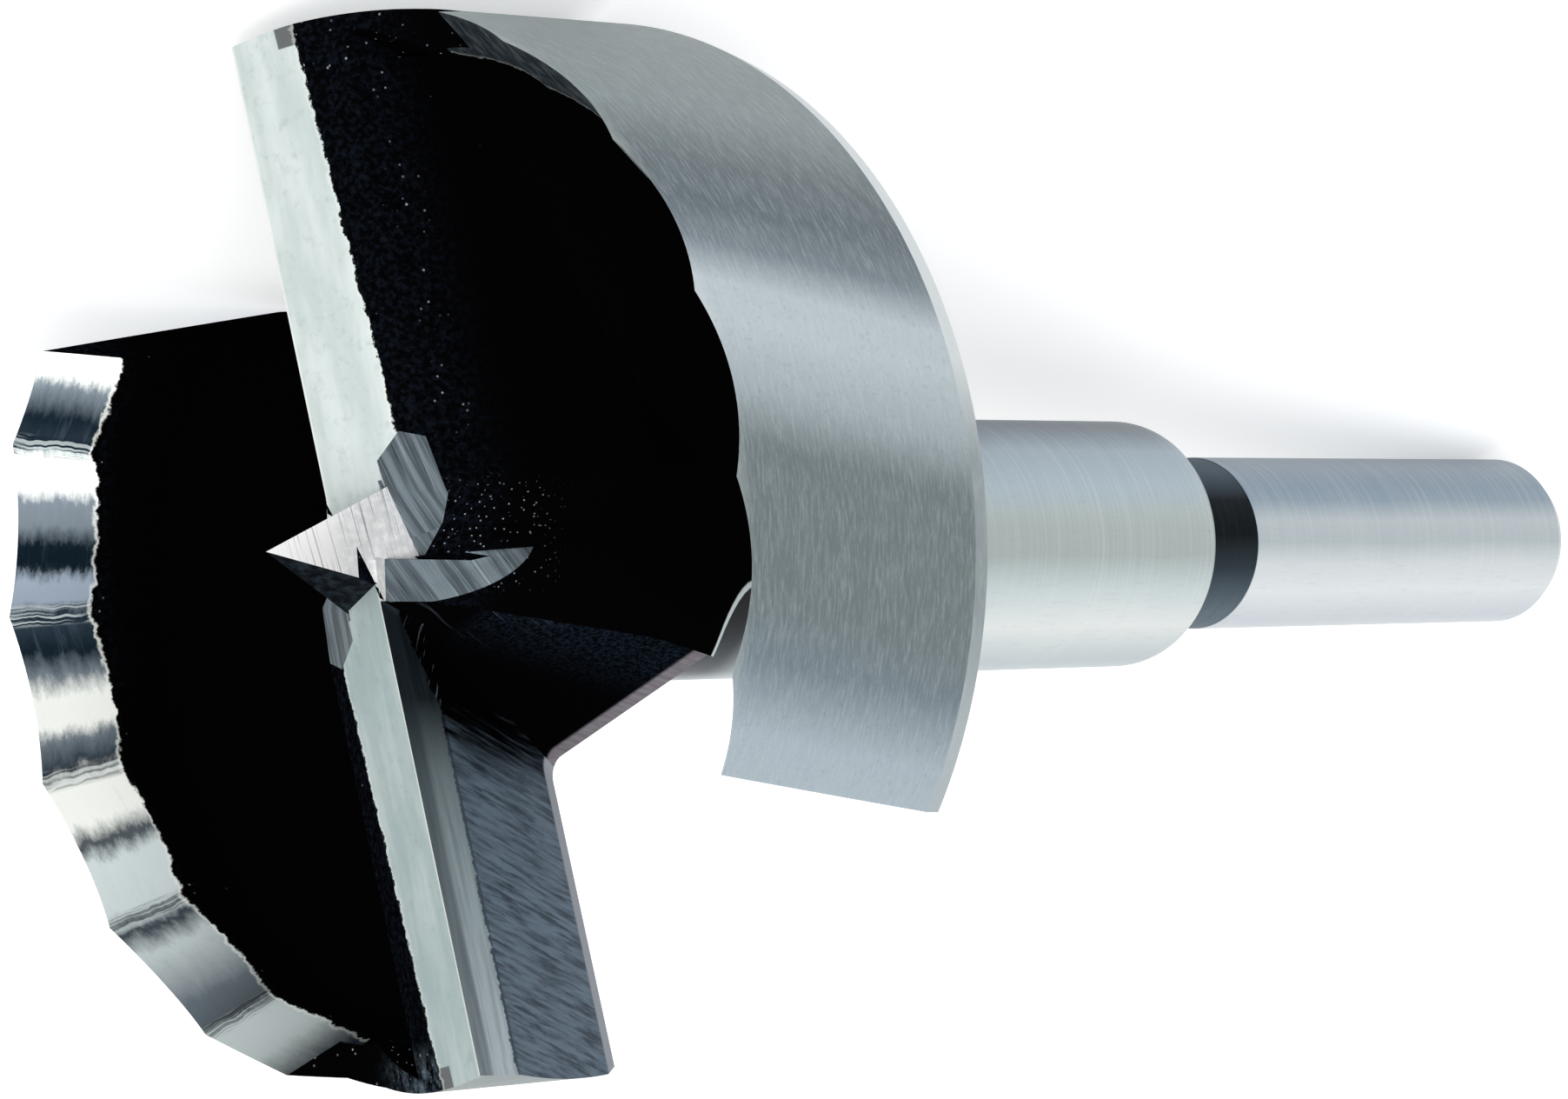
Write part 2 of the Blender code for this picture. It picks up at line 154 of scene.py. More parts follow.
# Ground gash behind each lip, with two floors: each has its own outline, given as places
# along the lip and behind its edge, and the foot's floor is steeper toward the point
BACK_GASH_PLAN = ((0.0016, 0.0030), (0.0026, 0.0034), (0.0090, 0.0034), (0.0090, 0.0124),
                  (0.0002, 0.0124))
BACK_GASH_TILT = math.radians(18.7)
BACK_GASH_HEADING = math.radians(-4.6)
BACK_GASH_HEIGHT = -0.00079
FOOT_GASH_PLAN = ((-0.0009, 0.0024), (0.0023, 0.0032), (0.0085, 0.0032), (0.0085, 0.0120),
                  (-0.0014, 0.0120))
FOOT_GASH_TILT = math.radians(24.9)
FOOT_GASH_HEADING = math.radians(-45.2)
FOOT_GASH_HEIGHT = -0.00176

# Dark flank of the hub between the gashes: its outline in plan, and its floor
FLANK_PLAN = ((0.0019, -0.0004), (0.0042, -0.0005), (0.0056, 0.0001), (0.0095, 0.0005),
              (0.0095, 0.0070), (0.0019, 0.0030))
FLANK_TILT = math.radians(58.0)
FLANK_HEADING = math.radians(-42.0)
FLANK_HEIGHT = 0.00066

# Ground gash in front of each lip, from the point down the hub
FRONT_GASH_SETBACK = 0.00172
FRONT_GASH_SIDE = -0.0006
FRONT_GASH_END = 0.0030
FRONT_GASH_SPREAD = math.radians(-15.0)
FRONT_GASH_TILT = math.radians(57.4)
FRONT_GASH_HEADING = math.radians(7.5)
FRONT_GASH_HEIGHT = 0.00199
GASH_REACH = 0.009

# Room that a cutting shape leaves past what it cuts
CLEAR = 0.0015
BEYOND = 1.5 * HEAD_RADIUS
CUTTER_TOP = 2.0 * POINT_HEIGHT
CUTTER_BOTTOM = -2.0 * HEAD_THICKNESS
SEGMENTS = 288

# Times that the rest position is worked out afresh from the one before
REST_TRIES = 4

# Mesh: points nearer than this are one, and edges that turn more than this stay sharp
WELD_DISTANCE = 1e-8
SHARP_ANGLE = math.radians(24.0)

# Light: the room, and two soft lamps (name, place, size, power) aimed at one place
ROOM_LIGHT = 0.55
LAMPS = (("lamp_front", (-0.42, 0.30, 0.42), 0.5, 1.9),
         ("lamp_above", (-0.05, 0.10, 0.60), 0.6, 1.3))
LAMP_AIM = Vector((0.0, 0.0, 0.03))

# Floor: its reach and cells, and the glow that the camera and that reflections see
FLOOR_REACH = 2.0
FLOOR_CELLS = 8
FLOOR_GLOW = 0.42
FLOOR_GLOSS = 0.15

# Camera, in the upright bit's own axes: the photograph's place and direction
CAMERA_PLACE = Vector((0.226463, 0.001443, 0.203866))
CAMERA_RIGHT = Vector((0.720698, -0.004648, -0.693233))
CAMERA_UP = Vector((0.0, 0.999978, -0.006705))
CAMERA_LENS = 138.32
CAMERA_SENSOR = 36.0
CAMERA_CLIP = 0.01

# Finishes are laid out in millimetres, and their bumps are this deep in metres
MM = 1000.0
BUMP_DEPTH = 0.0001
materials = {}


def tone(red, green, blue):
    """A colour written from 0 to 255 as it looks on a screen, made linear."""
    return tuple(((c / 255.0 + 0.055) / 1.055) ** 2.4 if c > 10 else c / 255.0 / 12.92
                 for c in (red, green, blue))


BLACK = tone(4, 4, 5)
SOOT = tone(17, 22, 30)
GLINT_SPECK = tone(150, 155, 165)
# Sheen: tones of painted reflections and highlights on ground metal, also used for a few marks
SHEEN_WHITE = tone(238, 241, 235)
SHEEN_SOFT = tone(228, 231, 227)
SHEEN_MILD = tone(208, 218, 218)
SHEEN_PALE = tone(190, 200, 200)
SHEEN_BLUE = tone(150, 163, 178)
SHEEN_GREY = tone(105, 115, 123)
SHEEN_DARK = tone(40, 52, 62)
SHEEN_DEEP = tone(14, 26, 35)
WORN_BROWN = tone(132, 128, 134)
FLOOR_WHITE = (0.93, 0.93, 0.93)

# Where finishes change on the upright bit: heights, distances from the centre or the axis in
# millimetres, and turns round the axis in degrees. Each pair is where a change starts and
# where it is complete
HOLLOW_REAR = (-17.64, -17.70)
MILLED_REAR = (-16.55, -16.85)
WALL_REAR = (-16.8, -17.1)
GAP_BARE = (8.5, 12.5)
LAND_EDGE_HIGHLIGHT = (0.16, 0.06)
LAND_RIM = (26.35, 26.45)
LAND_SOOT = (-0.04, 0.04)
RIM_FRONT_HIGHLIGHT = (-1.2, 0.0)
BEVEL_HIGHLIGHT = (25.46, 25.38)
BEVEL_BLACK = (25.37, 25.30)
BEVEL_SHADE = (48.0, 52.0)
BEVEL_END = (82.0, 82.6)
CREST_LINES = (1.5, 0.8)

# Depth of the ground facet's lower edge in millimetres: from its inner place along the lip
# it grows outward, from the least to the most
FACET_INNER = 2.5
FACET_GROWTH = 0.38
FACET_LEAST = 0.9
FACET_MOST = 3.15

# Middle of the bright specks painted as glints on the hub, in millimetres
HUB_GLINTS = (5.6, 0.9)

# Directions across the streaks, as shares of the coordinates, and the slant of the rim's painted
# reflection bands in degrees for each millimetre along the axis
MARK_LEAN = (0.99, 0.13)
GASH_LEAN = (0.90, 0.435)
POINT_LEAN = (0.72, 0.27, 0.69)
RIM_SLANT = 0.365
RIM_MIDDLE = -9.0

# Ranges of the colour ramps: turns round the rim and its bevel, millimetres along a lip, and
# height on a turned bar as a share of its radius
RIM_TURNS = (-40.0, 90.0)
BEVEL_TURNS = (-26.0, 88.0)
LIP_PLACES = (0.0, 28.0)
BAR_HEIGHTS = (-1.0, 1.0)


class Field:
    """A number that varies over a surface. Sums and products of fields make math nodes."""

    def __init__(self, tree, output):
        self.tree = tree
        self.output = output

    def math(self, operation, *others):
        """A math node over this field and others."""
        node = self.tree.nodes.new("ShaderNodeMath")
        node.operation = operation
        for value, target in zip((self, *others), node.inputs):
            plug(value, target)
        return Field(self.tree, node.outputs[0])

    def __add__(self, other):
        return self.math("ADD", other)

    def __sub__(self, other):
        return self.math("SUBTRACT", other)

    def __mul__(self, other):
        return self.math("MULTIPLY", other)

    def __truediv__(self, other):
        return self.math("DIVIDE", other)

    def inverse(self):
        """One minus the field."""
        return self * -1.0 + 1.0

    def step(self, low, high):
        """Zero below low and one above high, smooth between; the other way round if low > high."""
        node = self.tree.nodes.new("ShaderNodeMapRange")
        node.interpolation_type = "SMOOTHSTEP"
        for value, name in ((self, "Value"), (low, "From Min"), (high, "From Max")):
            plug(value, node.inputs[name])
        return Field(self.tree, node.outputs["Result"])


def plug(value, target):
    """Links a field to a socket, or writes a plain value or colour on it."""
    if isinstance(value, Field):
        value.tree.links.new(value.output, target)
    elif isinstance(value, tuple):
        target.default_value = (*value, 1.0)
    else:
        target.default_value = value


def mix(factor, first, second):
    """From the first colour to the second, by a field."""
    node = factor.tree.nodes.new("ShaderNodeMix")
    node.data_type = "RGBA"
    plug(factor, node.inputs["Factor"])
    for value, name in ((first, "A"), (second, "B")):
        target = [item for item in node.inputs if item.name == name and item.type == "RGBA"][0]
        plug(value, target)
    return Field(factor.tree, [item for item in node.outputs if item.type == "RGBA"][0])


def noise(fields, scale, detail, roughness=0.6):
    """Noise over three fields, from its scale, its detail and its roughness."""
    tree = fields[0].tree
    vector = tree.nodes.new("ShaderNodeCombineXYZ")
    for value, target in zip(fields, vector.inputs):
        plug(value, target)
    node = tree.nodes.new("ShaderNodeTexNoise")
    tree.links.new(vector.outputs[0], node.inputs["Vector"])
    node.inputs["Scale"].default_value = scale
    node.inputs["Detail"].default_value = detail
    node.inputs["Roughness"].default_value = roughness
    return Field(tree, node.outputs["Fac"])


def specks(at, scale, size):
    """Small round dots scattered over a surface."""
    tree = at.x.tree
    node = tree.nodes.new("ShaderNodeTexVoronoi")
    node.inputs["Scale"].default_value = scale
    tree.links.new(at.place, node.inputs["Vector"])
    return Field(tree, node.outputs["Distance"]).step(size, size * 0.5)


def ramp(value, span, stops):
    """A colour ramp over a field's span, from (field, colour) stops."""
    low, high = span
    node = value.tree.nodes.new("ShaderNodeValToRGB")
    plug((value - low) * (1.0 / (high - low)), node.inputs["Fac"])
    band = node.color_ramp
    while len(band.elements) < len(stops):
        band.elements.new(0.5)
    for element, (position, color) in zip(band.elements, stops):
        element.position = (position - low) / (high - low)
        element.color = (*color, 1.0)
    return Field(value.tree, node.outputs["Color"])


def bump(shader, height, strength):
    """Fine relief in a finish."""
    node = height.tree.nodes.new("ShaderNodeBump")
    node.inputs["Strength"].default_value = strength
    node.inputs["Distance"].default_value = BUMP_DEPTH
    plug(height, node.inputs["Height"])
    height.tree.links.new(node.outputs["Normal"], shader.inputs["Normal"])


def new_material(name, metallic, roughness, specular):
    """A new material's shader, and the places that its finish is laid out by."""
    material = bpy.data.materials.new(name)
    material.use_nodes = True
    tree = material.node_tree
    shader = tree.nodes["Principled BSDF"]
    shader.inputs["Metallic"].default_value = metallic
    shader.inputs["Roughness"].default_value = roughness
    shader.inputs["Specular IOR Level"].default_value = specular
    materials[name] = material
    return shader, places(tree)


def places(tree):
    """Places on the upright bit in millimetres: plain, beside the nearer lip, round the axis."""
    coordinates = tree.nodes.new("ShaderNodeTexCoord")
    upright = tree.nodes.new("ShaderNodeMapping")
    upright.name = "upright"
    tree.links.new(coordinates.outputs["Object"], upright.inputs["Vector"])
    split = tree.nodes.new("ShaderNodeSeparateXYZ")
    tree.links.new(upright.outputs[0], split.inputs[0])
    x, y, z = (Field(tree, output) for output in split.outputs)
    raw_along = x * math.cos(LIP_ANGLE) + y * math.sin(LIP_ANGLE)
    half = raw_along.math("SIGN")
    ahead = (y * math.cos(LIP_ANGLE) - x * math.sin(LIP_ANGLE)) * half
    middle = WAVE_CREST + WAVE_PITCH
    side = (x * math.cos(middle) + y * math.sin(middle)).math("SIGN")
    turn = (y * side).math("ARCTAN2", x * side).math("DEGREES")
    return SimpleNamespace(
        place=upright.outputs[0], x=x, y=y, z=z, solid=(x, y, z), half=half, side=side, turn=turn,
        along=raw_along.math("ABSOLUTE"), behind=ahead * -1.0 + MM * LIP_AHEAD,
        radius=(x * x + y * y).math("SQRT"))


def paint(shader, color):
    """Gives the finish its colour."""
    plug(color, shader.inputs["Base Color"])


def dull(shader, black):
    """Takes the metal's shine away where a finish is black."""
    metallic = shader.inputs["Metallic"].default_value
    plug(black * -metallic + metallic, shader.inputs["Metallic"])


def across_marks(at):
    """Distance across the tool marks of the chip gap."""
    return at.along * MARK_LEAN[0] + at.z * MARK_LEAN[1]


def away_from_centre(at):
    """Zero beside the centre, where the chip gap is blackened, and one farther out."""
    wander = noise((across_marks(at) * 3.4, at.z * 0.15, at.half), 1.0, 4.0) - 0.5
    return (at.along + wander * 6.0).step(*GAP_BARE)


def blackened():
    """Black oxide of the hollows, with bright specks painted as glints along the rim's edge, the
    crease and on the hub, and a few scattered specks.
    """
    shader, at = new_material("blackened", metallic=0.0, roughness=0.9, specular=0.0)
    mottle = noise(at.solid, 3.2, 4.0, 0.7)
    near_lip = at.behind.step(11.0, 6.0) * at.z.step(-6.5, -3.0)
    color = mix(mottle.step(0.42, 0.70) * near_lip, BLACK, SOOT)
    # Bright specks painted as glints along the rim's edge and the crease, in patches, and on the
    # hub
    rim_edge = at.radius.step(24.6, 25.0) * at.z.step(-5.0, -4.2)
    crease = (at.behind - 7.0).math("ABSOLUTE").step(0.5, 0.2) * at.z.step(-6.0, -4.5)
    worn = noise(at.solid, 0.35, 2.0).step(0.46, 0.56)
    dots = specks(at, 1.9, 0.17) * (rim_edge + crease) * worn
    off_x, off_y = at.x - HUB_GLINTS[0], at.y - HUB_GLINTS[1]
    hub = (off_x * off_x + off_y * off_y).step(10.0, 3.0)
    hub_glints = specks(at, 3.4, 0.20) * hub * at.z.step(-9.0, -6.0)
    rare = specks(at, 0.75, 0.045) * at.z.step(-8.0, -5.0) * 0.5
    share = (dots + hub_glints * 0.9 + rare).math("MINIMUM", 1.0)
    color = mix(share, color, GLINT_SPECK)
    # A cloudy grey patch on the rim's inner side behind one lip
    grey_patch = at.radius.step(24.8, 27.0) * at.half.step(0.5, -0.5) * at.behind.step(11.5, 6.0)
    cloud = noise(at.solid, 1.1, 5.0, 0.75).step(0.38, 0.70)
    color = mix(grey_patch * cloud, color, tone(96, 112, 122))
    rear = at.z.step(*HOLLOW_REAR)
    color = mix(rear, color, SHEEN_PALE)
    paint(shader, color)


def land():
    """Pale ground land, mottled, with a ragged edge to the blackened shoulder. One lip's land is
    painted lit, the other's shaded, with painted highlights along both its edges.
    """
    shader, at = new_material("land", metallic=0.1, roughness=0.6, specular=0.05)
    cloud = noise((at.along * 0.12, at.behind * 0.5, at.half * 3.0), 1.0, 3.0)
    mottle = noise(at.solid, 1.3, 5.0, 0.7)
    # One lip's land is painted lit and the other's painted shaded, two tones of one ground steel
    first = mix(cloud.step(0.35, 0.65), tone(196, 207, 205), tone(214, 223, 221))
    second = mix(cloud.step(0.35, 0.65), tone(164, 180, 180), tone(184, 197, 196))
    color = mix(at.half.step(-0.5, 0.5), second, first)
    color = mix(mottle.step(0.50, 0.75) * 0.30, color, tone(130, 148, 146))
    limit = at.along * -LAND_TAPER + MM * LAND_WIDTH
    rim_end = at.radius.step(*LAND_RIM) * (at.behind - limit).step(-1.25, -1.15)
    color = mix(rim_end, color, tone(104, 108, 108))
    # Painted highlight along the cutting edge
    front = at.behind.step(*LAND_EDGE_HIGHLIGHT)
    color = mix(front * 0.6, color, SHEEN_WHITE)
    ragged = (noise(at.solid, 1.0, 6.0, 0.75) - 0.5) * 1.2
    edge = at.behind + ragged - limit + 0.12
    # Painted highlight along the ragged edge to the shoulder
    color = mix(edge.step(-0.22, -0.14) * edge.step(0.02, -0.06) * 0.3, color, SHEEN_WHITE)
    paint(shader, mix(edge.step(*LAND_SOOT), color, BLACK))
    bump(shader, mottle, 0.1)


def rake_facet():
    """Ground facet just under the cutting edge, dark and narrow toward the centre, with a band of
    painted shade along its top.
    """
    shader, at = new_material("rake_facet", metallic=0.5, roughness=0.45, specular=0.0)
    color = ramp(at.along, LIP_PLACES, [
        (2.0, tone(24, 32, 38)), (8.0, tone(26, 34, 38)), (12.0, tone(112, 126, 130)),
        (16.0, tone(140, 154, 158)), (27.0, tone(172, 184, 190))])
    streaks = noise((at.along * 0.15, at.z * 2.6, at.half), 1.0, 4.0, 0.7)
    color = mix(streaks.step(0.40, 0.70) * 0.35, color, tone(60, 70, 78))
    # Painted shade: a dark band along the top of the facet, under the cutting edge
    upper = at.z.step(-1.6, -1.1)
    color = mix(upper * 0.55, color, tone(40, 48, 56))
    ragged = (noise((at.along, at.z * 0.5, at.half), 1.7, 6.0, 0.75) - 0.5) * 1.1
    limit = (at.along - FACET_INNER) * FACET_GROWTH + FACET_LEAST
    limit = limit.math("MINIMUM", FACET_MOST)
    low = (at.z * -1.0 + ragged - MM * LIP_DROP - limit).step(-0.06, 0.06)
    scratch = noise((at.along * 0.9 - at.z * 1.6, at.along * 0.2, at.half), 2.2, 3.0)
    below = mix(scratch.step(0.60, 0.70) * 0.5, BLACK, SHEEN_GREY)
    outer = away_from_centre(at)
    below = mix(outer, below, tone(58, 70, 82))
    paint(shader, mix(low, color, below))
    dull(shader, low * outer.inverse())


def milled():
    """Milled face of the chip gap: slanting tool marks that fade to black at the centre."""
    shader, at = new_material("milled", metallic=0.5, roughness=0.5, specular=0.0)
    marks = noise((across_marks(at) * 3.4, at.z * 0.22, at.half), 1.0, 3.0, 0.65)
    soft = noise((at.along, at.z, at.half), 0.35, 3.0)
    color = mix(marks.step(0.34, 0.62), tone(34, 48, 62), tone(98, 116, 132))
    color = mix(soft.step(0.35, 0.65) * 0.4, color, tone(84, 100, 114))
    outer = away_from_centre(at)
    color = mix(outer, BLACK, color)
    rear = at.z.step(*MILLED_REAR)
    color = mix(rear, color, tone(150, 154, 162))
    dull(shader, outer.inverse() * rear.inverse())
    paint(shader, color)
    bump(shader, marks, 0.3)


def gap_wall():
    """Far wall of the chip gap: black, with faint marks and a painted lit patch away from the lip,
    and a worn rear edge.
    """
    shader, at = new_material("gap_wall", metallic=0.0, roughness=0.9, specular=0.0)
    outward = (at.x * -math.sin(GAP_WALL_ANGLE) + at.y * math.cos(GAP_WALL_ANGLE)) * at.half * -1.0
    grain = noise(at.solid, 4.5, 4.0, 0.8)
    # Painted light: the wall's grain shows only in a lit patch, low and away from the lip
    painted_lit_patch = outward.step(-2.0, 3.5) * at.z.step(-4.5, -6.5)
    color = mix(grain.step(0.40, 0.66) * painted_lit_patch, BLACK, tone(26, 36, 47))
    lines = noise((outward * 2.6 - at.z * 1.2, at.z * 0.2, at.half), 1.0, 2.0)
    fan = lines.step(0.60, 0.70) * at.z.step(-10.5, -6.0) * outward.step(-1.0, 2.0)
    color = mix(fan * 0.3, color, tone(92, 98, 112))
    streaks = noise((outward * 3.0, at.z * 0.4, at.half), 1.0, 3.0)
    edge = mix(streaks.step(0.35, 0.65), tone(116, 110, 116), WORN_BROWN)
    paint(shader, mix(at.z.step(*WALL_REAR), color, edge))


def gash():
    """Ground gash beside the point, with fine slanting streaks."""
    shader, at = new_material("gash", metallic=0.5, roughness=0.42, specular=0.3)
    across = at.x * GASH_LEAN[0] + at.y * GASH_LEAN[1]
    down = at.y * GASH_LEAN[0] - at.x * GASH_LEAN[1]
    broad = noise((across * 2.6, down * 0.12, at.half), 1.0, 2.0)
    fine = noise((across * 11.0, down * 0.12, at.half), 1.0, 3.0, 0.7)
    color = mix(broad.step(0.38, 0.62), tone(70, 80, 86), tone(110, 122, 128))
    color = mix(fine.step(0.58, 0.70) * 0.75, color, tone(150, 162, 168))
    color = mix(fine.step(0.43, 0.34) * 0.85, color, tone(16, 24, 28))
    paint(shader, color)
    bump(shader, fine, 0.2)


def point_lit_steel():
    """Bright faces of the centre point and the gashes' walls, painted as lit, with fine cross
    streaks.
    """
    shader, at = new_material("point_lit_steel", metallic=0.3, roughness=0.4, specular=0.4)
    across = at.x * POINT_LEAN[0] - at.z * POINT_LEAN[2] + at.y * POINT_LEAN[1]
    streaks = noise((across * 9.0, at.y * 0.10, 0.0), 1.0, 3.0, 0.65)
    color = mix(streaks.step(0.46, 0.34), tone(253, 253, 252), tone(150, 154, 166))
    foot = noise(at.solid, 2.2, 4.0, 0.7).step(0.35, 0.6) * at.z.step(2.6, 0.6)
    paint(shader, mix(foot * 0.3, color, tone(160, 168, 180)))


def point_dark():
    """Shaded faces of the centre point, in a dark mottle."""
    shader, at = new_material("point_dark", metallic=0.4, roughness=0.6, specular=0.03)
    grain = noise(at.solid, 2.0, 4.0, 0.6)
    color = mix(grain.step(0.40, 0.7), tone(7, 8, 13), tone(36, 47, 54))
    paint(shader, color)


def bevel_steel():
    """Ground bevel of the rim: its sheen is painted in reflection bands that turn with each
    scallop, with fine lines at crests.
    """
    shader, at = new_material("bevel_steel", metallic=0.85, roughness=0.35, specular=0.0)
    wobble = noise((at.z * 0.9, at.radius * 0.9, at.turn * 0.05), 1.0, 2.0) - 0.5
    grainy = noise((at.turn * 0.3, at.radius * 3.5, at.side), 1.0, 5.0, 0.8) - 0.5
    turn = at.turn + wobble * 2.0 + grainy * 4.0
    # Painted reflection bands, which turn with each scallop
    color = ramp(turn, BEVEL_TURNS, [
        (-25.0, SHEEN_WHITE), (-21.0, SHEEN_WHITE), (-19.2, SHEEN_GREY), (-15.5, SHEEN_DEEP),
        (-11.6, SHEEN_DARK), (-10.9, SHEEN_SOFT), (-7.6, SHEEN_SOFT), (-5.5, SHEEN_GREY),
        (-2.9, SHEEN_GREY), (-0.6, SHEEN_DEEP), (2.0, SHEEN_DEEP), (3.6, SHEEN_BLUE),
        (6.0, SHEEN_BLUE), (7.6, SHEEN_DARK), (11.8, SHEEN_DEEP), (14.5, SHEEN_GREY),
        (17.2, SHEEN_WHITE), (20.6, SHEEN_WHITE), (22.2, SHEEN_GREY), (25.5, SHEEN_DARK),
        (27.5, SHEEN_WHITE), (32.5, SHEEN_WHITE), (35.2, SHEEN_DARK), (37.8, SHEEN_MILD),
        (45.0, SHEEN_MILD), (48.0, SHEEN_DARK), (51.5, SHEEN_PALE), (60.0, SHEEN_GREY),
        (65.0, SHEEN_GREY), (66.0, SHEEN_PALE), (73.0, SHEEN_PALE), (80.0, SHEEN_DARK)])
    streaks = noise((at.turn * 0.08, at.radius * 2.6, at.side), 1.0, 4.0, 0.7)
    color = mix(streaks.step(0.50, 0.80) * 0.14, color, SHEEN_BLUE)
    phase = (at.turn - math.degrees(WAVE_CREST)) * (1.0 / math.degrees(WAVE_PITCH)) + 0.5
    from_crest = (phase.math("FRACT") - 0.5).math("ABSOLUTE") * math.degrees(WAVE_PITCH)
    ripple = noise(((at.turn + wobble * 1.2) * 2.6, at.z * 0.15, at.side), 1.0, 1.0)
    lines = mix(ripple.step(0.44, 0.56), SHEEN_DEEP, SHEEN_PALE)
    color = mix(from_crest.step(*CREST_LINES) * 0.6, color, lines)
    shaded = at.side.step(-0.5, 0.5) * at.turn.step(*BEVEL_SHADE)
    fine = noise((at.turn * 1.2, at.radius * 1.5, 0.0), 1.0, 4.0)
    shade = mix(fine.step(0.4, 0.7), tone(66, 80, 88), tone(140, 150, 156))
    color = mix(shaded, color, shade)
    ragged = (noise(at.solid, 0.9, 6.0, 0.7) - 0.5) * 0.6
    inner = at.radius + ragged
    # Painted highlight along the bevel's ragged inner border
    color = mix(inner.step(*BEVEL_HIGHLIGHT) * 0.5, color, SHEEN_WHITE)
    ended = at.turn.step(*BEVEL_END)
    black = inner.step(*BEVEL_BLACK).math("MAXIMUM", ended)
    # Past its end the bevel is painted black as a dark reflection, with specks painted as glints
    painted_dark_end = mix(specks(at, 2.6, 0.14) * ended, BLACK, GLINT_SPECK)
    paint(shader, mix(black, color, painted_dark_end))
    dull(shader, black)


def rim_steel():
    """Brushed outer side of the rim, in soft slanting painted reflection bands of light and dark.
    """
    shader, at = new_material("rim_steel", metallic=0.7, roughness=0.42, specular=0.4)
    slanted = at.turn - (at.z - RIM_MIDDLE) * RIM_SLANT
    color = ramp(slanted, RIM_TURNS, [
        (-30.0, tone(172, 184, 192)), (-21.0, tone(165, 178, 187)), (-13.5, tone(112, 126, 134)),
        (-7.0, tone(106, 118, 120)), (8.0, tone(108, 120, 122)), (14.0, tone(158, 169, 175)),
        (21.0, tone(180, 191, 196)), (25.5, tone(178, 188, 195)), (30.5, tone(112, 124, 132)),
        (36.0, tone(86, 99, 106)), (42.0, tone(92, 104, 109)), (52.0, tone(126, 138, 140)),
        (80.0, tone(134, 145, 146))])
    brushed = noise((at.turn * 0.35, at.z * 5.0, at.side), 1.3, 5.0, 0.75)
    grain = noise(at.solid, 3.2, 3.0, 0.8)
    color = mix(brushed.step(0.40, 0.75) * 0.22, color, tone(212, 222, 226))
    color = mix(grain.step(0.52, 0.72) * 0.20, color, tone(92, 104, 112))
    # Painted highlight along the rim's front edge
    paint(shader, mix(at.z.step(*RIM_FRONT_HIGHLIGHT) * 0.15, color, SHEEN_WHITE))
    bump(shader, brushed, 0.08)


def chamfer_steel():
    """Bright chamfer round the back of the head, with painted reflection bands round it."""
    shader, at = new_material("chamfer_steel", metallic=0.5, roughness=0.4, specular=0.4)
    color = ramp(at.turn, RIM_TURNS, [
        (-20.0, tone(170, 180, 184)), (-5.0, tone(137, 147, 150)), (10.0, tone(142, 152, 156)),
        (20.0, tone(206, 212, 214)), (60.0, tone(212, 218, 220))])
    grain = noise((at.turn * 0.4, at.z * 2.0, at.side), 1.0, 4.0)
    paint(shader, mix(grain.step(0.4, 0.7) * 0.2, color, SHEEN_PALE))


def back_steel():
    """Turned back face of the head, in fine rings."""
    shader, at = new_material("back_steel", metallic=0.6, roughness=0.45, specular=0.35)
    rings = noise((at.radius * 5.0, at.turn * 0.01, 0.0), 1.0, 4.0)
    broad = noise(at.solid, 0.2, 3.0)
    color = mix(rings.step(0.3, 0.7), tone(112, 122, 130), tone(160, 170, 176))
    paint(shader, mix(broad.step(0.35, 0.65) * 0.35, color, tone(100, 110, 118)))
    bump(shader, rings, 0.15)


def turned_steel(name, stops):
    """Bright turned bar, with soft painted reflection bands along it and fine rings round it."""
    shader, at = new_material(name, metallic=0.6, roughness=0.32, specular=0.4)
    height = at.y / at.radius
    wobble = noise((at.z * 0.12, height * 1.4, 0.0), 1.0, 3.0) - 0.5
    # Painted reflection bands, lighter and darker by height round the bar
    color = ramp(height + wobble * 0.10, BAR_HEIGHTS, stops)
    rings = noise((at.z * 6.0, height * 0.4, at.x * 0.1), 1.0, 4.0, 0.7)
    dashes = noise((at.z * 0.5, height * 34.0, 0.0), 1.0, 3.0, 0.7)
    color = mix(rings.step(0.45, 0.75) * 0.16, color, tone(236, 240, 240))
    color = mix(dashes.step(0.52, 0.75) * 0.18, color, tone(140, 150, 156))
    bump(shader, rings, 0.05)
    return shader, at, color


def collar_steel():
    """The collar, shaded where the head stands over it."""
    shader, at, color = turned_steel("collar_steel", [
        (-0.93, tone(186, 199, 203)), (-0.65, tone(226, 231, 230)), (-0.37, tone(200, 211, 213)),
        (-0.09, tone(165, 176, 175)), (0.19, tone(170, 180, 178)), (0.47, tone(166, 181, 190)),
        (0.75, tone(156, 171, 182)), (0.96, tone(98, 110, 120))])
    shade = mix(at.y.step(-3.5, -7.0), tone(4, 8, 12), tone(40, 54, 62))
    under = at.y.step(0.5, -1.0) * at.x.step(0.0, 3.0) * at.z.step(-27.0, -22.5)
    paint(shader, mix(under, color, shade))


def shank_steel():
    """The shank, painted brighter below than above as reflection bands."""
    shader, _, color = turned_steel("shank_steel", [
        (-0.88, tone(202, 210, 217)), (-0.57, tone(223, 228, 230)), (-0.26, tone(209, 215, 218)),
        (0.0, tone(177, 188, 192)), (0.26, tone(180, 188, 193)), (0.50, tone(136, 153, 166)),
        (0.66, tone(130, 147, 162)), (0.88, tone(138, 152, 164))])
    paint(shader, color)


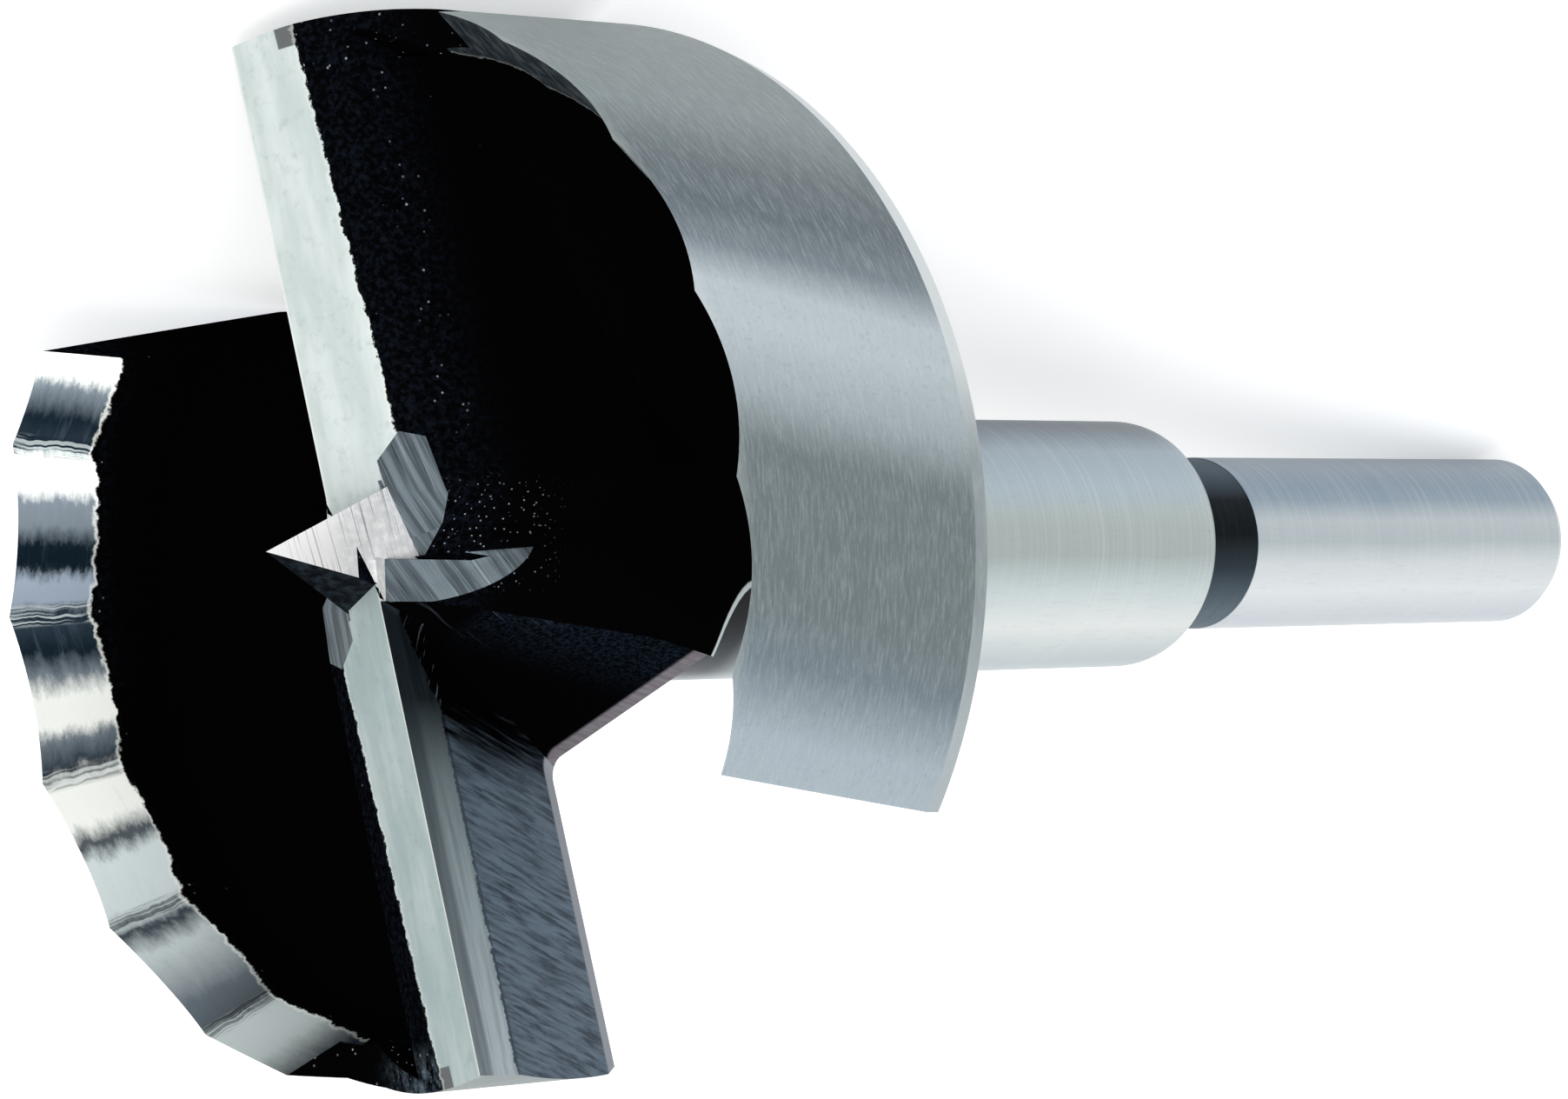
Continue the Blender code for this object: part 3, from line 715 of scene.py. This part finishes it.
def neck_steel():
    """Dark band of the neck between collar and shank, with painted reflection bands round it."""
    shader, at = new_material("neck_steel", metallic=0.5, roughness=0.5, specular=0.05)
    color = ramp(at.y / at.radius, BAR_HEIGHTS, [
        (-0.8, tone(92, 107, 118)), (-0.3, tone(44, 55, 63)), (0.1, tone(5, 10, 14)),
        (0.5, tone(8, 16, 22)), (0.85, tone(72, 87, 100))])
    rings = noise((at.z * 4.0, at.y * 0.2, 0.0), 1.0, 3.0)
    paint(shader, mix(rings.step(0.45, 0.7) * 0.2, color, SHEEN_DARK))


def make_materials():
    """Every finish, in the order of the mesh's material slots."""
    for finish in (blackened, land, rake_facet, milled, gap_wall, gash, point_lit_steel, point_dark,
                   bevel_steel, rim_steel, chamfer_steel, back_steel, collar_steel, shank_steel,
                   neck_steel):
        finish()


def lay_out_materials(pose):
    """Turns each material's coordinates back from the lying bit to the upright one."""
    back = pose.inverted()
    for material in materials.values():
        upright = material.node_tree.nodes["upright"]
        upright.inputs["Location"].default_value = back.translation * MM
        upright.inputs["Rotation"].default_value = back.to_euler()
        upright.inputs["Scale"].default_value = (MM, MM, MM)


def new_object(name, data):
    """A new object in the scene."""
    obj = bpy.data.objects.new(name, data)
    bpy.context.collection.objects.link(obj)
    return obj


def add_object(name, bm):
    """Turns a bmesh into an object with its faces pointing out, and with all the finishes."""
    bmesh.ops.remove_doubles(bm, verts=bm.verts, dist=WELD_DISTANCE)
    bmesh.ops.recalc_face_normals(bm, faces=bm.faces)
    mesh = bpy.data.meshes.new(name)
    bm.to_mesh(mesh)
    bm.free()
    for material in materials.values():
        mesh.materials.append(material)
    return new_object(name, mesh)


def slot_of(name):
    """Number of a finish's material slot."""
    return list(materials).index(name)


def loft(name, rings, finish):
    """A closed body through rings of points; finish(span, side) names each face's material."""
    bm = bmesh.new()
    loops = [[bm.verts.new(point) for point in ring] for ring in rings]
    count = len(rings[0])
    for span, (lower, upper) in enumerate(zip(loops, loops[1:])):
        for i in range(count):
            j = (i + 1) % count
            for corners in ((lower[i], lower[j], upper[j]), (lower[i], upper[j], upper[i])):
                bm.faces.new(corners).material_index = slot_of(finish(span, i))
    for loop in (loops[0], loops[-1]):
        bm.faces.new(loop).material_index = slot_of("blackened")
    return add_object(name, bm)


def revolve(name, profile, segments):
    """A turned body from (radius, height, finish) rows that start and end on the axis."""
    bm = bmesh.new()
    rings = []
    for radius, height, _ in profile:
        if radius == 0.0:
            rings.append([bm.verts.new((0.0, 0.0, height))] * segments)
        else:
            rings.append([bm.verts.new(polar(radius, 2.0 * math.pi * k / segments, height))
                          for k in range(segments)])
    for (_, _, finish), upper, lower in zip(profile, rings, rings[1:]):
        for k in range(segments):
            j = (k + 1) % segments
            corners = []
            for vert in (upper[k], upper[j], lower[j], lower[k]):
                if vert not in corners:
                    corners.append(vert)
            bm.faces.new(corners).material_index = slot_of(finish)
    return add_object(name, bm)


def twins(tool):
    """The tool and its copy half a round on."""
    other = tool.copy()
    other.data = tool.data.copy()
    other.data.transform(Matrix.Rotation(math.pi, 4, "Z"))
    other.name = tool.name + "_twin"
    bpy.context.collection.objects.link(other)
    return tool, other


def combine(body, tools, operation):
    """Cuts tools away from the body, or unites them with it. Each surface keeps its finish."""
    for tool in tools:
        modifier = body.modifiers.new(tool.name, "BOOLEAN")
        modifier.operation = operation
        modifier.solver = "EXACT"
        modifier.material_mode = "INDEX"
        modifier.object = tool


def settle(obj, tools):
    """Keeps the shape after the cuts and drops the tools."""
    bpy.context.view_layer.update()
    shaped = obj.evaluated_get(bpy.context.evaluated_depsgraph_get())
    mesh = bpy.data.meshes.new_from_object(shaped)
    obj.modifiers.clear()
    obj.data = mesh
    for tool in tools:
        bpy.data.objects.remove(tool, do_unlink=True)


def polar(radius, angle, height):
    """A point on a circle round the axis."""
    return Vector((radius * math.cos(angle), radius * math.sin(angle), height))


def lip_point(along, behind, height):
    """A point beside lip one: outward along its edge, then square back from the edge."""
    outward = Vector((math.cos(LIP_ANGLE), math.sin(LIP_ANGLE), 0.0))
    forward = Vector((-outward.y, outward.x, 0.0))
    return outward * along + forward * (LIP_AHEAD - behind) + Vector((0.0, 0.0, height))


def half_turn(point):
    """The same place on the other half of the head."""
    return Vector((-point.x, -point.y, point.z))


def land_height(behind):
    """Height of the ground land at a distance behind the cutting edge."""
    return -LIP_DROP - behind * math.tan(LAND_RELIEF)


def crease_height():
    """Height where the shoulder ends and the back of the lip bar starts."""
    return land_height(LAND_WIDTH) - SHOULDER_WIDTH * math.tan(SHOULDER_RELIEF)


def rake_behind(height):
    """How far behind the cutting edge the rake face lies at a height."""
    depth = -LIP_DROP - height
    facet = min(depth, RAKE_FACET_DEPTH)
    milled = max(depth - RAKE_FACET_DEPTH, 0.0)
    return facet * math.tan(RAKE_FACET_ANGLE) + milled * math.tan(RAKE_ANGLE)


def trailing_offset(height):
    """How far the leaning end wall of the rim stands off its middle plane at a height."""
    return (height + HEAD_THICKNESS / 2.0) * math.tan(TRAILING_LEAN)


def blank_profile():
    """The turned outline of the whole bit, each row with the finish of what follows it."""
    back = -HEAD_THICKNESS
    collar_end = back - COLLAR_LENGTH
    neck_end = collar_end - NECK_LENGTH
    end = neck_end - SHANK_LENGTH
    profile = [
        (0.0, CLEAR, "land"),
        (HEAD_RADIUS, CLEAR, "rim_steel"),
        (HEAD_RADIUS, back + HEAD_CHAMFER_LENGTH, "chamfer_steel"),
        (HEAD_RADIUS - HEAD_CHAMFER_DEPTH, back, "back_steel"),
        (COLLAR_RADIUS, back, "collar_steel"),
    ]
    for i in range(ROUND_STEPS + 1):
        turn = 0.5 * math.pi * i / ROUND_STEPS
        profile.append((COLLAR_RADIUS - COLLAR_ROUND_DEPTH * (1.0 - math.cos(turn)),
                        collar_end + COLLAR_ROUND_LENGTH * (1.0 - math.sin(turn)), "collar_steel"))
    return profile + [
        (NECK_RADIUS, collar_end, "neck_steel"),
        (NECK_RADIUS, neck_end, "shank_steel"),
        (SHANK_RADIUS, neck_end, "shank_steel"),
        (SHANK_RADIUS, end + SHANK_CHAMFER_LENGTH, "shank_steel"),
        (SHANK_RADIUS - SHANK_CHAMFER_DEPTH, end, "shank_steel"),
        (0.0, end, "shank_steel"),
    ]


def relief_section(along):
    """Section of the relief, square to the lip, at a place along it."""
    land = LAND_WIDTH - LAND_TAPER * along
    notch_start = land + (land_height(land) + NOTCH_DROP) / math.tan(SHOULDER_RELIEF)
    wall_top = NOTCH_FLOOR_END + (CUTTER_TOP + NOTCH_DROP) * math.tan(NOTCH_WALL_SLOPE)
    return [
        (-BEYOND, CUTTER_TOP),
        (wall_top, CUTTER_TOP),
        (NOTCH_FLOOR_END, -NOTCH_DROP),
        (notch_start, -NOTCH_DROP),
        (land, land_height(land)),
        (-BEYOND, land_height(-BEYOND)),
    ]


def relief_tool():
    """Clears the front of a lip: land, shoulder and the notch up to the start of the rim."""
    rings = [[lip_point(along, behind, height) for behind, height in relief_section(along)]
             for along in (-RELIEF_OVERLAP, BEYOND)]
    return loft("relief", rings, lambda span, side: "land" if side == LAND_SIDE else "blackened")


def floor_tool(name, corners, heading, tilt, middle_height, floor_finish, lit_walls):
    """A cutter with upright walls over a floor that falls toward its heading."""
    fall = polar(math.tan(tilt), heading, 0.0)
    floor = [Vector((c.x, c.y, middle_height - c.dot(fall))) for c in corners]
    lid = [Vector((c.x, c.y, CUTTER_TOP)) for c in corners]
    # The listed walls take the point's painted lit finish
    tool = loft(name, [floor, lid],
                lambda span, side: "point_lit_steel" if side in lit_walls else "blackened")
    for face in tool.data.polygons:
        if len(face.vertices) == len(corners) and face.center.z < POINT_HEIGHT:
            face.material_index = slot_of(floor_finish)
    return tool


def back_gash_tools():
    """The two floors of the gash behind the inner end of lip one, and the hub's flank."""
    back = [lip_point(along, behind, 0.0) for along, behind in BACK_GASH_PLAN]
    foot = [lip_point(along, behind, 0.0) for along, behind in FOOT_GASH_PLAN]
    flank = [Vector((x, y, 0.0)) for x, y in FLANK_PLAN]
    return [floor_tool("back_gash", back, BACK_GASH_HEADING, BACK_GASH_TILT, BACK_GASH_HEIGHT,
                       "gash", lit_walls=(0, 1)),
            floor_tool("foot_gash", foot, FOOT_GASH_HEADING, FOOT_GASH_TILT, FOOT_GASH_HEIGHT,
                       "gash", lit_walls=(0, 1)),
            floor_tool("flank", flank, FLANK_HEADING, FLANK_TILT, FLANK_HEIGHT,
                       "blackened", lit_walls=())]


def front_gash_tool():
    """Steep ground facet on the web in front of lip two, from the point down the hub."""
    ahead = polar(1.0, FRONT_GASH_HEADING, 0.0)
    side = Vector((-ahead.y, ahead.x, 0.0))
    near = ahead * FRONT_GASH_SETBACK + side * FRONT_GASH_SIDE
    lip_end = half_turn(lip_point(FRONT_GASH_END, 0.0, 0.0))
    corners = [near, lip_end, lip_end + polar(GASH_REACH, FRONT_GASH_SPREAD, 0.0),
               near + ahead * GASH_REACH]
    return floor_tool("front_gash", corners, FRONT_GASH_HEADING, FRONT_GASH_TILT,
                      FRONT_GASH_HEIGHT, "gash", lit_walls=(0,))


def point_solid():
    """The centre point, a four-sided pyramid with its foot inside the hub."""
    height = POINT_HEIGHT + POINT_FOOT
    foot = []
    for turn in (0.0, math.pi):
        for angle, steepness in POINT_EDGES:
            foot.append((angle + turn, height / steepness))
    foot.sort(key=lambda corner: corner[0])
    bm = bmesh.new()
    tip = bm.verts.new((0.0, 0.0, POINT_HEIGHT))
    base = [bm.verts.new(polar(radius, angle, -POINT_FOOT)) for angle, radius in foot]
    for i, (first, second) in enumerate(zip(base, base[1:] + base[:1])):
        # The point's faces take turns: painted lit, then painted shaded
        finish = "point_lit_steel" if i % 2 == 0 else "point_dark"
        bm.faces.new((first, second, tip)).material_index = slot_of(finish)
    bm.faces.new(base)
    return add_object("point", bm)


def slit_tool():
    """A wedge whose mouth lies on the point's face, stretched out past it."""
    deepest = Vector(SLIT_DEEPEST)
    mouth = [deepest + (Vector(corner) - deepest) * SLIT_STRETCH for corner in SLIT_MOUTH]
    bm = bmesh.new()
    bottom = bm.verts.new(deepest)
    corners = [bm.verts.new(corner) for corner in mouth]
    for first, second in zip(corners, corners[1:] + corners[:1]):
        bm.faces.new((first, second, bottom)).material_index = slot_of("blackened")
    bm.faces.new(corners)
    return add_object("slit", bm)


def cross(first, second):
    """Where two plan lines, each a point and a direction, meet."""
    p, u = first
    q, v = second
    det = u.x * v.y - u.y * v.x
    t = ((q.x - p.x) * v.y - (q.y - p.y) * v.x) / det
    return p + u * t


def rounded_corner(corner, before, after, radius):
    """Points of a plan corner rounded to a radius."""
    a = (before - corner).normalized()
    b = (after - corner).normalized()
    half = a.angle(b) / 2.0
    centre = corner + (a + b).normalized() * (radius / math.sin(half))
    start = corner + a * (radius / math.tan(half)) - centre
    end = corner + b * (radius / math.tan(half)) - centre
    points = []
    for i in range(FILLET_STEPS + 1):
        spoke = start.lerp(end, i / FILLET_STEPS).normalized() * radius
        points.append(centre + spoke)
    return points


def gap_ring(height, corner_radius):
    """Plan outline of the chip gap ahead of lip two at a height."""
    behind = rake_behind(height)
    edge_inner = half_turn(lip_point(0.0, behind, 0.0))
    edge_outer = half_turn(lip_point(BEYOND, behind, 0.0))
    normal = polar(1.0, GAP_WALL_ANGLE, 0.0)
    depth = max(-height - LIP_DROP, 0.0)
    wall = normal * (GAP_WALL_DISTANCE + depth * math.tan(GAP_WALL_SLOPE))
    wall_run = Vector((-normal.y, normal.x, 0.0))
    trailing = polar(1.0, TRAILING_ANGLE, 0.0)
    end_wall = Vector((-trailing.y, trailing.x, 0.0)) * trailing_offset(height)
    turn = cross((wall, wall_run), (end_wall, trailing))
    corner = cross((edge_inner, edge_outer - edge_inner), (wall, wall_run))
    plan = [edge_outer] + rounded_corner(corner, edge_outer, turn, corner_radius)
    plan += [turn, end_wall + trailing * BEYOND]
    return [Vector((point.x, point.y, height)) for point in plan]


def gap_finish(span, side):
    """Rake, wall or end wall of a chip gap, counted round its outline."""
    if side <= FILLET_STEPS // 2:
        return "milled" if span == 0 else "rake_facet"
    if side <= FILLET_STEPS + 1:
        return "gap_wall"
    return "blackened"


def gap_tool():
    """The chip gap, open from the front to the back of the head."""
    return loft("gap", [
        gap_ring(-HEAD_THICKNESS - CLEAR, GAP_CORNER_RADIUS),
        gap_ring(-LIP_DROP - RAKE_FACET_DEPTH, GAP_CORNER_RADIUS),
        gap_ring(-LIP_DROP, GAP_WEB_RADIUS),
        gap_ring(CUTTER_TOP, GAP_WEB_RADIUS),
    ], gap_finish)


def rim_edge_height(angle):
    """Height of the rim's cutting edge: crests at even steps, a shallow scallop between."""
    phase = ((angle - WAVE_CREST) / WAVE_PITCH) % 1.0
    return -WAVE_DEPTH * (1.0 - (2.0 * phase - 1.0) ** 2)


def hollow_depth(angle):
    """Depth of the hollow's floor, which falls evenly round from the back of the lip."""
    return HOLLOW_START_DEPTH + HOLLOW_PITCH * (HOLLOW_START - angle) / (2.0 * math.pi)


def hollow_section(angle):
    """Radial section of the hollow: hub side, floor, bowl, rim wall and bevel."""
    depth = hollow_depth(angle)
    wall = HEAD_RADIUS - RIM_WALL
    edge = rim_edge_height(angle)
    steep = 1.0 / math.tan(RIM_BEVEL_ANGLE)
    foot = HUB_RADIUS + depth * math.tan(HUB_SLOPE)
    section = [(HUB_RADIUS, POINT_HEIGHT), (HUB_RADIUS, 0.0)]
    for i in range(FILLET_STEPS + 1):
        turn = 0.5 * math.pi * i / FILLET_STEPS
        rise = HUB_FILLET * (1.0 - math.sin(turn))
        lean = rise * math.tan(HUB_SLOPE)
        section.append((foot - lean + HUB_FILLET * (1.0 - math.cos(turn)), rise - depth))
    for i in range(BOWL_STEPS + 1):
        turn = 0.5 * math.pi * i / BOWL_STEPS
        radius = wall - BOWL_WIDTH * (1.0 - math.sin(turn))
        section.append((radius, -depth + BOWL_RISE * depth * (1.0 - math.cos(turn))))
    section.append((wall, edge - RIM_WALL * steep))
    section.append((HEAD_RADIUS + CLEAR, edge + CLEAR * steep))
    section.append((HEAD_RADIUS + CLEAR, POINT_HEIGHT))
    return section


def hollow_tool():
    """The hollow behind lip one, with the rim's wavy bevel as its outer border."""
    step = WAVE_PITCH / STEPS_PER_WAVE
    first = math.floor((HOLLOW_END - WAVE_CREST) / step)
    last = math.ceil((RIM_START - WAVE_CREST) / step)
    rings = []
    for i in range(first, last + 1):
        angle = WAVE_CREST + i * step
        rings.append([polar(radius, angle, height) for radius, height in hollow_section(angle)])
    bevel_side = len(rings[0]) - 3
    return loft("hollow", rings,
                lambda span, side: "bevel_steel" if side == bevel_side else "blackened")


def bar_ring(behind, height):
    """Plan outline, at a height, of the bar that carries lip one and of the hub beside it."""
    inner = BAR_START - behind
    return [
        lip_point(BEYOND, -BEYOND, height),
        lip_point(BEYOND, behind, height),
        lip_point(BAR_START, behind, height),
        lip_point(inner, 0.0, height),
        lip_point(inner, -BEYOND, height),
    ]


def bar_keeper():
    """The bar that carries lip one, which the hollow stays behind."""
    crease = LAND_WIDTH + SHOULDER_WIDTH
    foot = crease + (crease_height() - CUTTER_BOTTOM) * math.tan(BAR_BACK_SLOPE)
    return loft("bar_keeper", [bar_ring(foot, CUTTER_BOTTOM),
                               bar_ring(crease, crease_height()),
                               bar_ring(crease, CUTTER_TOP)], lambda span, side: "blackened")


def sink(station, tilt):
    """How far a (radius, height) place on the lying bit's underside reaches down."""
    return station[0] * math.cos(tilt) - station[1] * math.sin(tilt)


def rest_matrix():
    """Lays the bit down on the corners of one chip gap and the end of its shank."""
    back = -HEAD_THICKNESS
    lip_corner = LIP_ANGLE + math.asin((LIP_AHEAD - rake_behind(back)) / HEAD_RADIUS)
    trailing_corner = math.pi + TRAILING_ANGLE + math.asin(trailing_offset(back) / HEAD_RADIUS)
    middle = (lip_corner + trailing_corner) / 2.0
    reach = math.cos((trailing_corner - lip_corner) / 2.0)
    end = back - COLLAR_LENGTH - NECK_LENGTH - SHANK_LENGTH
    head_stations = [
        (HEAD_RADIUS * reach, back + HEAD_CHAMFER_LENGTH),
        ((HEAD_RADIUS - HEAD_CHAMFER_DEPTH) * reach, back),
    ]
    shank_stations = [
        (SHANK_RADIUS, end + SHANK_CHAMFER_LENGTH),
        (SHANK_RADIUS - SHANK_CHAMFER_DEPTH, end),
    ]
    tilt = 0.0
    for _ in range(REST_TRIES):
        head = max(head_stations, key=lambda station: sink(station, tilt))
        shank = max(shank_stations, key=lambda station: sink(station, tilt))
        tilt = math.atan2(head[0] - shank[0], head[1] - shank[1])
    down = Matrix.Rotation(math.pi - middle, 4, "Z")
    lay = Matrix.Rotation(-0.5 * math.pi + tilt, 4, "Y")
    return lay @ down


def lie_down(body):
    """Lays the body where the CAD bit lies: the same turn, and the same box corners."""
    pose = rest_matrix()
    points = [pose @ vert.co for vert in body.data.vertices]
    low = [min(point[i] for point in points) for i in range(3)]
    high = [max(point[i] for point in points) for i in range(3)]
    cad_low, cad_high = cad_box
    shift = Vector(((cad_low[0] + cad_high[0] - low[0] - high[0]) / 2.0,
                    (cad_low[1] + cad_high[1] - low[1] - high[1]) / 2.0,
                    cad_low[2] - low[2]))
    pose = Matrix.Translation(shift) @ pose
    body.data.transform(pose)
    return pose


def make_bit():
    """The whole bit, cut as the CAD bit is, with each cut's finish."""
    body = revolve("bit_body", blank_profile(), SEGMENTS)
    hollow = hollow_tool()
    keeper = bar_keeper()
    combine(hollow, [keeper], "DIFFERENCE")
    settle(hollow, [keeper])
    cuts = [("DIFFERENCE", twins(relief_tool()))]
    cuts += [("DIFFERENCE", twins(tool)) for tool in back_gash_tools()]
    cuts += [("UNION", [point_solid()]), ("DIFFERENCE", twins(hollow)),
             ("DIFFERENCE", twins(gap_tool())), ("DIFFERENCE", twins(front_gash_tool())),
             ("DIFFERENCE", twins(slit_tool()))]
    tools = []
    for operation, group in cuts:
        combine(body, group, operation)
        tools.extend(group)
    settle(body, tools)
    body.data.shade_smooth()
    body.data.set_sharp_from_angle(angle=SHARP_ANGLE)
    return body


def add_camera(pose):
    """The photograph's camera, carried along with the bit as it is laid down."""
    data = bpy.data.cameras.new("camera")
    data.lens = CAMERA_LENS
    data.sensor_width = CAMERA_SENSOR
    data.sensor_fit = "HORIZONTAL"
    data.clip_start = CAMERA_CLIP
    camera = new_object("camera", data)
    back = CAMERA_RIGHT.cross(CAMERA_UP)
    turn = Matrix((CAMERA_RIGHT, CAMERA_UP, back)).transposed().to_4x4()
    camera.matrix_world = pose @ Matrix.Translation(CAMERA_PLACE) @ turn
    bpy.context.scene.camera = camera


def seen_directly(tree):
    """One for rays from the camera and for reflections, zero for the light itself."""
    ray = tree.nodes.new("ShaderNodeLightPath")
    return Field(tree, ray.outputs["Is Camera Ray"]).math(
        "MAXIMUM", Field(tree, ray.outputs["Is Glossy Ray"]))


def add_floor():
    """A large pale floor, white to the camera, that keeps the bit's shadow."""
    bm = bmesh.new()
    bmesh.ops.create_grid(bm, x_segments=FLOOR_CELLS, y_segments=FLOOR_CELLS, size=FLOOR_REACH)
    mesh = bpy.data.meshes.new("floor")
    bm.to_mesh(mesh)
    bm.free()
    floor = new_object("floor", mesh)
    material = bpy.data.materials.new("floor")
    material.use_nodes = True
    tree = material.node_tree
    shader = tree.nodes["Principled BSDF"]
    shader.inputs["Base Color"].default_value = (*FLOOR_WHITE, 1.0)
    shader.inputs["Roughness"].default_value = 1.0
    shader.inputs["Specular IOR Level"].default_value = 0.0
    shader.inputs["Emission Color"].default_value = (1.0, 1.0, 1.0, 1.0)
    ray = tree.nodes.new("ShaderNodeLightPath")
    glow = Field(tree, ray.outputs["Is Camera Ray"]) * (FLOOR_GLOW - FLOOR_GLOSS)
    plug(glow + seen_directly(tree) * FLOOR_GLOSS, shader.inputs["Emission Strength"])
    mesh.materials.append(material)


def add_light():
    """Even studio light: a pale room and two large soft lamps near the camera."""
    world = bpy.data.worlds.new("world")
    bpy.context.scene.world = world
    world.use_nodes = True
    tree = world.node_tree
    background = tree.nodes["Background"]
    background.inputs["Color"].default_value = (1.0, 1.0, 1.0, 1.0)
    strength = seen_directly(tree) * (1.0 - ROOM_LIGHT) + ROOM_LIGHT
    plug(strength, background.inputs["Strength"])
    for name, place, size, power in LAMPS:
        data = bpy.data.lights.new(name, "AREA")
        data.size = size
        data.energy = power
        lamp = new_object(name, data)
        aim = Vector(place) - LAMP_AIM
        turn = aim.to_track_quat("Z", "Y").to_matrix().to_4x4()
        lamp.matrix_world = Matrix.Translation(place) @ turn


make_materials()
bit = make_bit()
lying = lie_down(bit)
lay_out_materials(lying)
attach(bit, "root")
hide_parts("forstner_bit")
add_camera(lying)
add_floor()
add_light()
bpy.context.scene.view_settings.view_transform = "Standard"

bpy.context.view_layer.update()
